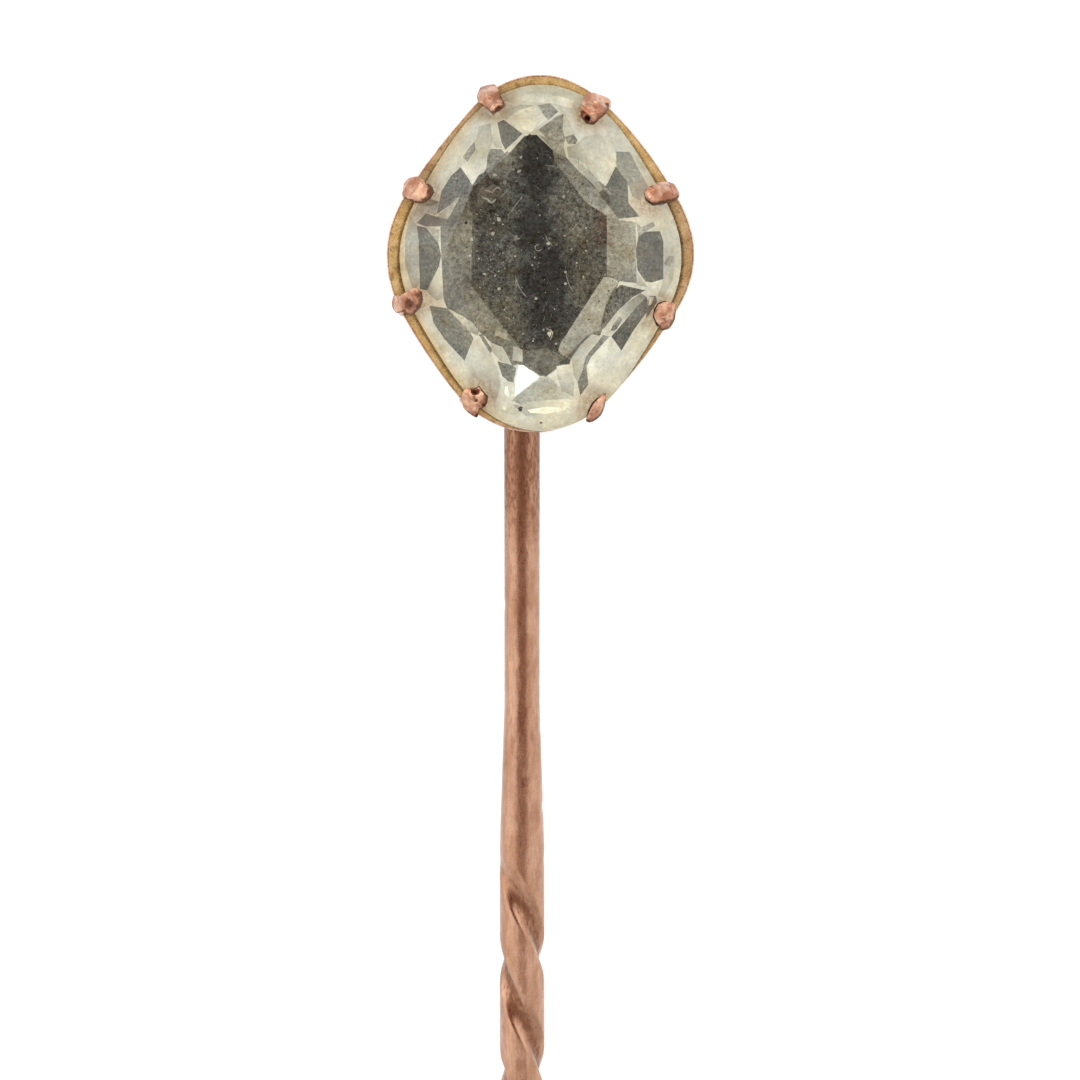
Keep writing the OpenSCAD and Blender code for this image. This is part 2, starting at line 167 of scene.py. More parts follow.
    (0.26, [1.61, 1.99, 1.72, 1.96, 1.97, 1.66, 1.86, 1.69, 1.64, 1.88]),
    (0.46, [0.71, 2.73, 0.96, 2.62, 1.23, 2.4, 1.53, 2.12, 1.7, 1.8, 1.59, 1.71, 1.42, 1.96, 1.09, 2.26,
     0.77, 2.53]),
    (0.38, [1.23, 2.53, 1.37, 2.29, 1.48, 2.15, 1.31, 2.26]),
    (0.55, [1.2, 3.27, 1.64, 3.38, 2.05, 2.89, 2.08, 2.67, 1.92, 2.34, 1.78, 1.99, 1.7, 1.96, 1.37, 2.29,
     1.23, 2.53, 0.77, 2.7, 0.71, 2.97, 0.96, 3.03]),
    (0.26, [0.68, 3.25, 0.9, 3.33, 1.01, 3.16, 0.96, 3.05, 0.74, 3.05]),
    (0.26, [0.36, 2.86, 0.71, 2.67, 1.09, 2.26, 1.59, 1.71, 2.13, 1, 1.81, 0.76, 1.81, 1.08, 1.23, 1.47,
     0.38, 2.59]),
    (0.34, [2.08, 2.89, 2.46, 2.89, 2.74, 2.34, 2.96, 1.93, 2.74, 1.52, 2.52, 1.63, 2.35, 2.07, 2.08,
     2.45]),
    (0.78, [-0.75, 4.34, -0.2, 4.25, 0.35, 4.2, 0.85, 4.06, 0.92, 4.3, 0.35, 4.46, -0.3, 4.5]),
    # Painted shadow on the stone below the left upper claw.
    (0.42, [-3.05, 1.6, -2.78, 1.5, -2.87, 1.13, -3.15, 1.19, -3.42, 0.98, -3.52, 1.22, -3.36, 1.46]),
    (0.05, [-1.98, 1.5, -1.9, 1.86, -1.68, 2.2, -1.5, 2.3, -1.36, 2.1, -1.16, 2.02, -1.1, 1.88, -1.3, 1.95,
     -1.5, 1.84, -1.6, 1.9, -1.72, 1.7, -1.74, 1.4, -1.86, 1.28]),
]
# A patch grows brighter to one side by a share between these.
LEAST_SLANT, MOST_SLANT = 0.15, 0.4
# Scratches and threads on the table: brightness, width and course.
SCRATCHES = [
    (0.34, 0.018, [-0.48, 1.64, -0.7, 1.34, -0.9, 1.09]),
    (0.3, 0.018, [-0.81, 1.89, -0.98, 1.7, -1.12, 1.56]),
    (0.26, 0.016, [-0.7, -0.51, -0.66, -0.68, -0.6, -0.84, -0.5, -1, -0.37, -1.15]),
    (0.26, 0.016, [0, 0.3, -0.08, 0.31, -0.14, 0.26, -0.15, 0.19, -0.1, 0.13, -0.02, 0.13, 0.03, 0.18]),
    (0.22, 0.02, [0.1, 0.62, 0.2, 0.4, 0.34, 0.25]),
    (0.24, 0.016, [1.05, 0.95, 0.9, 0.72, 0.62, 0.5]),
    (0.22, 0.016, [0.95, -1.05, 0.8, -0.84, 0.72, -0.62, 0.68, -0.3]),
    (0.33, 0.05, [-1.6, 1.61, -1.53, 1.56, -1.46, 1.55, -1.38, 1.46, -1.32, 1.44, -1.26, 1.5, -1.22, 1.55]),
    (0.26, 0.045, [-1.53, 1.79, -1.42, 1.76, -1.32, 1.72, -1.25, 1.8, -1.19, 1.86, -1.13, 1.84, -1.08,
     1.79]),
    (0.22, 0.014, [-1.55, -0.35, -1.38, -0.42, -1.2, -0.52, -0.95, -0.8]),
    (0.6, 0.02, [0.14, -1.97, 0.34, -2.1, 0.27, -2.31]),
    (0.2, 0.014, [0.75, 2.15, 0.62, 1.8, 0.68, 1.45]),
]
# Larger flecks of dust: brightness, radius, x and y.
FLECKS = [
    (0.42, 0.055, -1.13, 0.99), (0.4, 0.045, -1.12, -0.9), (0.35, 0.04, 0.62, 1.61),
    (0.4, 0.045, -0.53, 2.69), (0.35, 0.05, 0.21, 0.34), (0.4, 0.04, 0.68, -0.46),
    (0.35, 0.04, 1.17, -0.59), (0.35, 0.04, 0.68, -0.76), (0.3, 0.045, -0.12, -1.17),
    (0.42, 0.055, -1.31, 0.59), (0.42, 0.055, -1.88, 0.45), (0.45, 0.07, 0.24, -2.14),
    (0.03, 0.06, -0.54, -4.18), (0.1, 0.04, 0.01, -4.55), (0.05, 0.04, 1.3, 1.05), (0.06, 0.05, -1.62, 1.3),
    (0.4, 0.06, -1.26, 2.2), (0.25, 0.06, -0.98, 1.99), (0.2, 0.06, -0.67, 0.48), (0.35, 0.05, -0.58, 2.3),
    (0.25, 0.04, -0.74, 2.36),
]
# Brown dirt, dark gaps and painted shadow on the stone, close along the inner sides of the claws' heads,
# drawn as lines.
CLAW_DIRT_AND_SHADOW = [
    (0.1, 0.2, [2.86, 1.78, 2.95, 1.6, 3.09, 1.49, 3.37, 1.55, 3.5, 1.58]),
    (0.03, 0.13, [3.6, -1.29, 3.42, -1.26, 3.26, -1.32, 3.17, -1.46, 3.15, -1.64, 3.24, -1.84, 3.32,
     -1.94]),
    (0.14, 0.1, [-1.4, 4.04, -1.3, 3.94, -1.08, 4.07]),
    (0.16, 0.16, [-3.12, 2.02, -3.03, 1.89, -2.99, 1.78, -3.07, 1.65, -3.24, 1.54, -3.38, 1.52]),
    (0.12, 0.12, [-3.4, -0.92, -3.3, -0.99, -3.28, -1.18, -3.34, -1.35, -3.46, -1.52]),
    (0.12, 0.14, [-1.94, -3.62, -1.8, -3.67, -1.7, -3.6, -1.62, -3.72, -1.5, -3.85, -1.48, -4]),
    (0.05, 0.15, [1.28, -4.45, 1.37, -4.24, 1.47, -4.05, 1.6, -3.92, 1.72, -3.8]),
    (0.16, 0.12, [1.14, 4.07, 1.14, 3.87, 1.29, 3.69, 1.45, 3.67, 1.58, 3.77]),
]
# Where brown dirt and painted shade darken the stone round and under the claws' tips, and how far it reaches.
STAINS_AND_SHADE = [
    (3.05, 1.55), (1.35, 3.95), (-1.2, 4.15), (-3.2, 1.75), (-3.4, -1.2), (-1.65, -3.8), (3.3, -1.55),
    (1.5, -4.1), (-3.1, 1.25),
]
STAIN_AND_SHADE_REACH = 0.75
# Where painted shade makes the table darkest: the middle and the reach of each soft spot, and how full it is.
CORE_SHADE_SPOTS = [(-0.1, 2.3, 0.8, 1.9, 1), (0.15, -0.9, 1.0, 2.6, 1), (-0.15, 0.8, 0.8, 1.8, 1),
              (-1.2, 0.3, 0.8, 2.4, 0.45)]
LOOSE_FLECKS = 520
PITS = 110
HAIRLINES = 70
HAIR_WIDTH = 0.012
EDGE_WIDTH = 0.03
EDGE_TRIM = 0.03
STRAW, PALE_STRAW = (1, 0.93, 0.7), (0.99, 0.97, 0.82)
RED_TINGE, DEEP_TINGE, GOLD_REFLECTION_TINGE = (1, 0.66, 0.48), (0.92, 1, 0.95), (1, 0.79, 0.45)
STAIN_AND_SHADE_TINGE, DIRT_AND_SHADOW_TINGE = (1, 0.68, 0.4), (1, 0.62, 0.38)
WHITE, BLACK = (1, 1, 1), (0, 0, 0)


def polar(radius, angle):
    """The point at this radius and angle."""
    return np.stack([radius * np.cos(angle), radius * np.sin(angle)], axis=-1)


def unit_aside(way):
    """The unit vectors squarely to the right of these."""
    return np.stack([way[:, 1], -way[:, 0]], axis=1) / np.linalg.norm(way, axis=1, keepdims=True)


def turns_left(corners):
    """Whether an outline runs anticlockwise, by the sign of the area that it goes round."""
    after = np.roll(corners, -1, axis=0)
    return np.sum(corners[:, 0] * after[:, 1] - corners[:, 1] * after[:, 0]) > 0


def stone_radius(angle):
    """A circle with two waves on its radius: one makes it longer than wide, and the other squares it."""
    mean, side = (STONE_WIDTH + STONE_LENGTH) / 4, STONE_ACROSS / 2
    waves = (STONE_WIDTH - STONE_LENGTH) / 4 * np.cos(2 * angle) + (mean - side) / 2 * np.cos(4 * angle)
    return (mean + side) / 2 + waves


def stone_out(angle):
    """A vector squarely out of that outline: the radius, and its growth with the angle turned back."""
    mean, side = (STONE_WIDTH + STONE_LENGTH) / 4, STONE_ACROSS / 2
    growth = (STONE_LENGTH - STONE_WIDTH) / 2 * np.sin(2 * angle) - 2 * (mean - side) * np.sin(4 * angle)
    return polar(stone_radius(angle), angle) - polar(growth, angle + np.pi / 2)


def half_stone(corners, height, shares):
    """The crown or the pavilion, as points that carry their drop from its flat, and as facets.

    A main facet falls evenly from its inner corner to its point on the girdle, squarely to the outline.
    Two neighbours meet in a line, and the tip on it lies where both have dropped by a share of the height.
    The small facets of the girdle are triangles from a tip to the outline.
    """
    edges, outs = polar(stone_radius(MAIN_ANGLE), MAIN_ANGLE), stone_out(MAIN_ANGLE)
    falls = outs * height / np.sum(outs * (edges - corners), axis=1, keepdims=True)
    next_corners, next_falls = np.roll(corners, -1, axis=0), np.roll(falls, -1, axis=0)
    reach = shares * height + np.sum(falls * corners, axis=1)
    next_reach = shares * height + np.sum(next_falls * next_corners, axis=1)
    area = falls[:, 0] * next_falls[:, 1] - falls[:, 1] * next_falls[:, 0]
    tip_x = (reach * next_falls[:, 1] - next_reach * falls[:, 1]) / area
    tip_y = (next_reach * falls[:, 0] - reach * next_falls[:, 0]) / area
    span = np.diff(np.append(MAIN_ANGLE, MAIN_ANGLE[0] + 2 * np.pi))
    angles = (MAIN_ANGLE[:, None] + span[:, None] * np.arange(GIRDLE_STEPS) / GIRDLE_STEPS).ravel()
    ring = polar(stone_radius(angles), angles)
    points = np.concatenate([np.append(corners, np.zeros((8, 1)), axis=1),
                             np.stack([tip_x, tip_y, shares * height], axis=1),
                             np.append(ring, np.full((len(ring), 1), height), axis=1)])
    k, j = np.arange(8), np.arange(len(ring))
    stars = np.stack([k, 8 + k, (k + 1) % 8], axis=1)
    mains = np.stack([k, 8 + (k - 1) % 8, 16 + GIRDLE_STEPS * k, 8 + k], axis=1)
    girdle = np.stack([8 + j // GIRDLE_STEPS, 16 + j, 16 + (j + 1) % len(ring)], axis=1)
    return points, [k.tolist(), *stars.tolist(), *mains.tolist(), *girdle.tolist()]


def drop(half, places):
    """The drop at some places (x, y): the most of what the planes of all facets have, as the half bulges."""
    points, facets = half
    a, b, c = (points[[facet[i] for facet in facets]] for i in range(3))
    normal = np.cross(b - a, c - a)
    away = places[..., None, :] - a[:, :2]
    return np.max(a[:, 2] - np.sum(normal[:, :2] * away, axis=-1) / normal[:, 2], axis=-1)


def cut_patches(half, patches, lines):
    """The half with the outlines of patches and of lines cut into its facets.

    It gives the places, the faces, the number of each face's topmost patch or -1, whether a line covers it,
    and which places make the girdle.
    """
    points, facets = half
    places = [Vector(p) for p in points[:, :2].tolist()]
    faces = [list(facet) for facet in facets]
    for outline in [outline for _, outline in patches] + lines:
        corners = np.array(outline).reshape(-1, 2)
        order = range(len(corners)) if turns_left(corners) else reversed(range(len(corners)))
        faces.append([len(places) + i for i in order])
        places += [Vector(p) for p in corners.tolist()]
    cut, _, cut_faces, came_from, _, inside = delaunay_2d_cdt(places, [], faces, 4, 1e-5)
    kept = [i for i, owners in enumerate(inside) if min(owners, default=len(facets)) < len(facets)]
    last = len(facets) + len(patches)
    topmost = np.array([max(owner for owner in inside[i] if owner < last) for i in kept])
    topmost = np.where(topmost >= len(facets), topmost - len(facets), -1)
    lined = np.array([max(inside[i]) >= last for i in kept])
    ring = np.zeros(len(points), int)
    for new, olds in enumerate(came_from):
        ring[[old for old in olds if old < len(points)]] = new
    return np.array(cut), [list(cut_faces[i]) for i in kept], topmost, lined, ring[16:]


def line_outline(points, width):
    """The outline of a thin line: its points moved to one side, then those on the other side backwards."""
    line = np.array(points).reshape(-1, 2)
    aside = -unit_aside(np.gradient(line, axis=0)) * width / 2
    aside[[0, -1]] *= 0.3
    return np.concatenate([line + aside, (line - aside)[::-1]]).ravel().tolist()


def fleck_outlines(places, sizes, seed):
    """Six-cornered outlines: a circle of each size whose radius changes at random from corner to corner."""
    uneven = np.random.default_rng(seed).uniform(0.6, 1.4, (len(places), 6))
    corners = polar(uneven, np.arange(6) * np.pi / 3 + uneven[:, :1] * 3) * np.array(sizes)[:, None, None]
    return (np.array(places)[:, None] + corners).reshape(len(places), -1).tolist()


def new_object(name, points, faces):
    """An object of the scene with its mesh, from points in millimetres."""
    mesh = bpy.data.meshes.new(name)
    mesh.from_pydata((np.asarray(points) * MM).tolist(), [], faces)
    made = bpy.data.objects.new(name, mesh)
    bpy.context.scene.collection.objects.link(made)
    return made


def make_piece(name, points, faces, replaced):
    """A mesh piece that rides on the part's one body and stands for a node of it."""
    piece = new_object(name, points, faces)
    piece.data.validate()
    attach(piece, "root")
    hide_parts(replaced)
    return piece


def write_mask(piece, name, values, domain="POINT", kind="FLOAT"):
    """An attribute of the mesh, from one value or one vector for each point or face."""
    field = "vector" if kind == "FLOAT_VECTOR" else "value"
    piece.data.attributes.new(name, kind, domain).data.foreach_set(field, np.ravel(values))


crown = half_stone(polar(TABLE_RADIUS, TABLE_ANGLE), CROWN_HEIGHT, STAR_SHARE)
culet = np.stack([CULET_WIDTH / 2 * np.cos(MAIN_ANGLE), CULET_LENGTH / 2 * np.sin(MAIN_ANGLE)], axis=1)
pavilion = half_stone(culet, GIRDLE_LOW - CULET_Z, np.full(8, LOWER_SHARE))
# Dust lies loose all over the table, a third of it in a cloud at the left, and some flecks are dark pits.
chance = np.random.default_rng(5)
loose = chance.uniform([-2.2, -2.9], [2.2, 3.0], (LOOSE_FLECKS, 2))
loose = loose[np.abs(loose[:, 0]) / 2.3 + np.abs(loose[:, 1]) / 3.4 < 1.1]
loose[::3] = chance.normal([-1.35, 0.2], [0.35, 0.85], loose[::3].shape)
loose_size = 0.010 + 0.02 * chance.random(len(loose)) ** 3
loose_shade = np.round(0.17 + 0.38 * chance.random(len(loose)) ** 2, 2)
loose_shade[:PITS] = np.round(0.02 + 0.05 * chance.random(PITS), 2)
loose_size[:PITS] *= 1.8
# Hairline scratches have three points each and run mostly up and down.
hair_at = chance.uniform([-2.0, -2.4], [2.0, 2.6], (HAIRLINES, 1, 2))
hair_turn = chance.normal(1.2, 0.9, (HAIRLINES, 1))
hair_turn = hair_turn + np.array([[0, 0.25, 0.5]]) * chance.normal(0, 1, (HAIRLINES, 1))
hairs = hair_at + np.cumsum(polar(chance.uniform(0.03, 0.16, (HAIRLINES, 1)), hair_turn), axis=1)
hair_shade = np.round(chance.uniform(0.13, 0.24, HAIRLINES), 2)
marks = [(shade, line_outline(points, HAIR_WIDTH)) for shade, points in zip(hair_shade, hairs)]
marks += [(shade, line_outline(points, width)) for shade, width, points in SCRATCHES]
marks += zip(loose_shade, fleck_outlines(loose, loose_size, 6))
fleck_shade, fleck_size, *fleck_at = zip(*FLECKS)
marks += zip(fleck_shade, fleck_outlines(np.transpose(fleck_at), fleck_size, 7))
dirt_and_shadow = [(shade, line_outline(points, width)) for shade, width, points in CLAW_DIRT_AND_SHADOW]
drawn = PATCHES + marks + dirt_and_shadow
# Every edge between the table, the stars and the main facets is worn, and a thin lighter line, a painted
# highlight, runs along it.
corners = crown[0][:, :2]
ridges = {tuple(sorted(pair)) for facet in crown[1][:17] for pair in zip(facet, facet[1:] + facet[:1])}
edge_lines = [line_outline(corners[[a, b]] * (1 - EDGE_TRIM) + corners[[b, a]] * EDGE_TRIM, EDGE_WIDTH)
              for a, b in sorted(ridges)]
places, upper_faces, topmost, lined, upper_ring = cut_patches(crown, drawn, edge_lines)
upper = np.append(places, TABLE_Z - drop(crown, places)[:, None], axis=1)
lower = pavilion[0] + [0, 0, CULET_Z]
lower_ring = len(upper) + 16 + np.arange(len(upper_ring))
belt = np.stack([upper_ring, lower_ring, np.roll(lower_ring, -1), np.roll(upper_ring, -1)], axis=1)
under = [[len(upper) + i for i in reversed(face)] for face in pavilion[1]]
stone = make_piece("cut_stone", np.concatenate([upper, lower]), upper_faces + belt.tolist() + under,
                   "stone")
# A slant is x, y and a last number: x and y times the place, plus that number, is what is added to 1.
slants = np.zeros((len(drawn) + 1, 3))
for index, (_, outline) in enumerate(PATCHES):
    corners = np.array(outline).reshape(-1, 2)
    middle = corners.mean(axis=0)
    rise = polar(chance.uniform(LEAST_SLANT, MOST_SLANT), chance.uniform(0, 2 * np.pi))
    rise = rise / np.abs(corners - middle).max()
    slants[index] = [*rise, -rise @ middle]
shades = np.append([shade for shade, _ in drawn], REST_SHADE)[topmost]
is_dirt_or_shadow = topmost >= len(PATCHES + marks)
lower_count = len(belt) + len(under)
for name, values, below in (("shade", shades, REST_SHADE), ("dirt_and_shadow", is_dirt_or_shadow, 0), ("worn_edge_glint", lined, 0)):
    write_mask(stone, name, np.append(values, np.full(lower_count, below, float)), "FACE")
write_mask(stone, "slant", np.append(slants[topmost], np.zeros((lower_count, 3))), "FACE", "FLOAT_VECTOR")
backs = np.arange(len(stone.data.polygons)) >= len(shades)
stone.data.polygons.foreach_set("material_index", backs.astype(int))


def new_material(name):
    """A material, its node tree and its shader."""
    made = bpy.data.materials.new(name)
    made.use_nodes = True
    return made, made.node_tree, made.node_tree.nodes["Principled BSDF"]


def feed(made, inputs):
    """Fill a node's inputs, by name or number, each with a value or with the socket that feeds it."""
    for key, value in inputs.items():
        if isinstance(value, bpy.types.NodeSocket):
            made.id_data.links.new(value, made.inputs[key])
        else:
            made.inputs[key].default_value = value


def node(tree, kind, inputs=(), **settings):
    """A shader node with its settings and inputs."""
    made = tree.nodes.new("ShaderNode" + kind)
    for key, value in settings.items():
        setattr(made, key, value)
    feed(made, dict(inputs))
    return made


def tree_of(*values):
    """The node tree of the first socket among some values."""
    return next(value.id_data for value in values if isinstance(value, bpy.types.NodeSocket))


def maths(operation, *values):
    """One arithmetic node on sockets and plain numbers."""
    return node(tree_of(*values), "Math", dict(enumerate(values)), operation=operation).outputs[0]


def times(first, second):
    """The product of two values."""
    return maths("MULTIPLY", first, second)


def scaled(value, gain, added):
    """The value times a gain, and something added."""
    return maths("MULTIPLY_ADD", value, gain, added)


def vectors(operation, *values):
    """One node on vectors. It gives a vector, or a number if it takes a length or a dot product."""
    made = node(tree_of(*values), "VectorMath", dict(enumerate(values)), operation=operation)
    return made.outputs["Value" if operation in ("LENGTH", "DOT_PRODUCT") else "Vector"]


def attribute(tree, name):
    """The value that the mesh has under this name."""
    return node(tree, "Attribute", attribute_name=name).outputs["Fac"]


def rgba(colour):
    """A plain colour with its alpha. A socket stays as it is."""
    return (*colour, 1) if isinstance(colour, tuple) else colour


def blend(factor, first, second, kind="MIX"):
    """The first colour, given over to the second as the factor rises."""
    inputs = {"Factor": factor, "A": rgba(first), "B": rgba(second)}
    made = node(tree_of(factor, first, second), "Mix", inputs, data_type="RGBA", blend_type=kind)
    return made.outputs["Result"]


def millimetres(tree, stretch=(1, 1, 1)):
    """The place on the piece in millimetres, with a stretch along each axis."""
    return vectors("MULTIPLY", node(tree, "TexCoord").outputs["Object"], tuple(np.array(stretch) / MM))


def ramp(value, low, high, to_low=0.0, to_high=1.0):
    """The value taken smoothly from one range to another."""
    limits = {"Value": value, "From Min": low, "From Max": high, "To Min": to_low, "To Max": to_high}
    return node(value.id_data, "MapRange", limits, interpolation_type="SMOOTHSTEP").outputs["Result"]


def noise(where, scale, detail=3.0, roughness=0.5, stretch=(1, 1, 1)):
    """Grey noise on a stretched copy of the place."""
    inputs = {"Vector": vectors("MULTIPLY", where, stretch), "Scale": scale, "Detail": detail,
              "Roughness": roughness}
    return node(where.id_data, "TexNoise", inputs).outputs["Fac"]


def waver(level, pattern, swing):
    """The level times 1 plus the swing times the pattern, counted from the pattern's middle."""
    return times(level, scaled(maths("SUBTRACT", pattern, 0.5), swing, 1.0))


def soft_spot(where, x, y, wide, high):
    """A soft round mask: full at its middle and gone at this reach to the sides and up."""
    away = vectors("SUBTRACT", where, (x, y, 0))
    return ramp(vectors("LENGTH", vectors("MULTIPLY", away, (1 / wide, 1 / high, 0))), 1.0, 0.35)


glass, tree, clear = new_material("straw_stone")
feed(clear, {"Transmission Weight": 1, "Roughness": 0, "IOR": 1.4})
at = millimetres(tree)
xyz = node(tree, "SeparateXYZ", {0: at}).outputs
seen = attribute(tree, "shade")
# Two nudged copies of the place make the edges of the soft spots uneven.
nudge = node(tree, "CombineXYZ", {0: noise(at, 2.4, 2.0, 0.5), 1: noise(at, 2.1)}).outputs[0]
nudge = vectors("ADD", nudge, (-0.5, -0.5, 0))
near = vectors("MULTIPLY_ADD", nudge, (1.1, 1.1, 0), at)
close = vectors("MULTIPLY_ADD", nudge, (0.5, 0.5, 0), at)
# How much the brightness wavers: most where the stone looks dark, least in the pale ring. The dark middle of
# the table is painted shade, deepest down its centre, where one looks straight through to the flat.
painted_core_shade = 0.0
for *spot, full in CORE_SHADE_SPOTS:
    painted_core_shade = maths("MAXIMUM", times(soft_spot(near, *spot), full), painted_core_shade)
# Fine grain, specks of grit, soft clouds and streaks that run up and down.
grain = noise(at, 11.0, 5.0, 0.75)
grit = ramp(noise(at, 21.0, 2.0, 0.6), 0.6, 0.74)
cloud = noise(at, 1.3, 4.0, 0.6)
streak = noise(at, 3.4, 4.0, 0.7, (1, 0.7, 1))
dark = ramp(seen, 0.13, 0.08)
grey = ramp(seen, 0.5, 0.25)
flat_place = vectors("ADD", vectors("MULTIPLY", at, (1, 1, 0)), (0, 0, 1))
slant = node(tree, "Attribute", attribute_name="slant").outputs["Vector"]
level = times(seen, maths("ADD", vectors("DOT_PRODUCT", flat_place, slant), 1.0))
level = waver(level, grain, scaled(dark, 2.2, scaled(grey, 2.4, 0.8)))
level = waver(level, cloud, scaled(grey, 1.0, 0.6))
level = waver(level, streak, 0.7)
# Painted shade deepens the dark middle of the table.
level = times(level, scaled(scaled(painted_core_shade, -0.9, 0.32), dark, 1.0))
level = scaled(times(grit, grey), scaled(painted_core_shade, -0.14, 0.2), level)
# A brown stain at the left of the table, and brown dirt with painted shade round the claws' tips, darken and
# tint the stone.
stain_and_shade = times(soft_spot(near, -1.4, 1.8, 0.6, 0.5), 0.45)
for x, y in STAINS_AND_SHADE:
    stain_and_shade = maths("MAXIMUM", stain_and_shade, soft_spot(close, x, y, STAIN_AND_SHADE_REACH, STAIN_AND_SHADE_REACH))
stain_and_shade = times(stain_and_shade, ramp(grain, 0.3, 0.65))
level = times(level, scaled(stain_and_shade, -0.45, 1.0))
# Painted highlight along the worn edges, brighter in places.
level = scaled(times(attribute(tree, "worn_edge_glint"), ramp(cloud, 0.4, 0.6)), 0.12, level)
level = node(tree, "Clamp", {"Value": level}).outputs[0]
# Close to the girdle, and most at the left, a painted reflection of the gold that the stone sits in tints the
# stone.
gold_reflection = ramp(scaled(cloud, 0.3, xyz["Z"]), GIRDLE_TOP + 0.42, GIRDLE_TOP + 0.15)
gold_reflection = times(gold_reflection, ramp(xyz["X"], 0.8, -3.2, 0.15, 1.0))
reddish = times(soft_spot(near, 1.68, 0.75, 0.3, 0.65), 0.8)
hue = blend(ramp(noise(at, 0.8, 2.0), 0.35, 0.65), STRAW, PALE_STRAW)
# The brightest patches are painted highlights and turn white.
for mask, tinge in ((reddish, RED_TINGE), (times(dark, painted_core_shade), DEEP_TINGE), (gold_reflection, GOLD_REFLECTION_TINGE),
                    (stain_and_shade, STAIN_AND_SHADE_TINGE), (attribute(tree, "dirt_and_shadow"), DIRT_AND_SHADOW_TINGE),
                    (ramp(seen, 0.88, 0.98), WHITE)):
    hue = blend(mask, hue, tinge)
tinted = blend(level, BLACK, hue)
squared = blend(1.0, tinted, tinted, "MULTIPLY")
seen_first = node(tree, "LightPath").outputs["Is Camera Ray"]
feed(clear, {"Base Color": blend(seen_first, WHITE, squared)})

foil, tree, silvered = new_material("dull_foil")
stain = ramp(noise(millimetres(tree), 1.7, 5.0, 0.65), 0.5, 0.72)
from_inside = blend(stain, (0.96, 0.96, 0.94), (0.8, 0.74, 0.58))
from_outside = blend(stain, (0.55, 0.52, 0.4), (0.3, 0.26, 0.18))
behind = node(tree, "NewGeometry").outputs["Backfacing"]
feed(silvered, {"Base Color": blend(behind, from_outside, from_inside), "Roughness": 0.5})
stone.data.materials.append(glass)
stone.data.materials.append(foil)


# The cup. Thin sheet gold, raised into a tapering cup with a closed flat back and soldered. Its rim is
# scalloped into eight shallow arcs, one from each claw to the next, and filed to a bevel inside, where it is
# yellower.
# One column for each claw, anticlockwise: its angle, the rim's radius there, the bulge of the next arc, and
# how yellow that arc's bevel still is.
CLAW_ANGLE = np.radians([26.9, 68.7, 108.8, 152.4, 198.5, 243.5, 292.0, 334.1])
RIM_RADIUS = np.array([4.13, 4.69, 4.81, 4.13, 4.16, 4.58, 4.43, 3.97])
RIM_BULGE = np.array([0.12, 0.63, 0.07, 0.45, 0.09, 0.71, 0.09, 0.63])
RIM_TONE = np.array([0.9, 1.0, 0.4, 0.95, 0.95, 0.9, 0.6, 0.5])
SEAT_GAP = 0.03
RIM_HEIGHT = GIRDLE_LOW - SEAT_GAP
BACK_SHARE = 0.62
MOUTH_SHARE = 0.925
LIP_SHARE = 0.989
BACK_THICKNESS = 0.4
RIM_STEPS = 24
# How far the bevel goes in under the stone's edge, at most what share of the rim's radius it leaves, the
# width at which it falls in full, and the least share of the fall.
UNDER_EDGE = 0.06
BEVEL_SHARE = 0.95
FULL_WIDTH = 0.5
LEAST_FALL = 0.25


def rim_curve(steps):
    """The rim from above: from each claw to the next a straight line that bows outwards as a parabola."""
    start = polar(RIM_RADIUS, CLAW_ANGLE)
    way = np.roll(start, -1, axis=0) - start
    t = (np.arange(steps) / steps)[None, :, None]
    bow = (unit_aside(way) * RIM_BULGE[:, None])[:, None] * 4 * t * (1 - t)
    return (start[:, None] + way[:, None] * t + bow).reshape(-1, 2)


def wall_share(z):
    """What share of the rim's radius the cup has at this height: its wall widens evenly."""
    return BACK_SHARE + (1 - BACK_SHARE) * z / RIM_HEIGHT


def grid_faces(rows, columns):
    """Quads between rows of points that each close on themselves, and a fan round a point at each end."""
    i, j = np.meshgrid(np.arange(rows - 1), np.arange(columns), indexing="ij")
    k = (j + 1) % columns
    low, high = i * columns, (i + 1) * columns
    quads = np.stack([low + j, low + k, high + k, high + j], axis=-1)
    j, k = j[0], k[0]
    first, last, end = rows * columns, rows * columns + 1, (rows - 1) * columns
    low_fan = np.stack([np.full(columns, first), k, j], axis=1)
    high_fan = np.stack([np.full(columns, last), end + j, end + k], axis=1)
    return quads.reshape(-1, 4).tolist() + low_fan.tolist() + high_fan.tolist()


def make_rows(name, rows, masks, material):
    """A piece from a stack of rings, closed at both ends. Each mask, one value a point, is an attribute."""
    points = np.concatenate([rows.reshape(-1, 3), rows[0].mean(axis=0)[None], rows[-1].mean(axis=0)[None]])
    piece = make_piece(name, points, grid_faces(*rows.shape[:2]), "setting")
    piece.data.shade_smooth()
    piece.data.materials.append(material)
    for mask, values in masks.items():
        values = np.broadcast_to(values, rows.shape[:2])
        write_mask(piece, mask, np.append(values, [values[0].mean(), values[-1].mean()]))


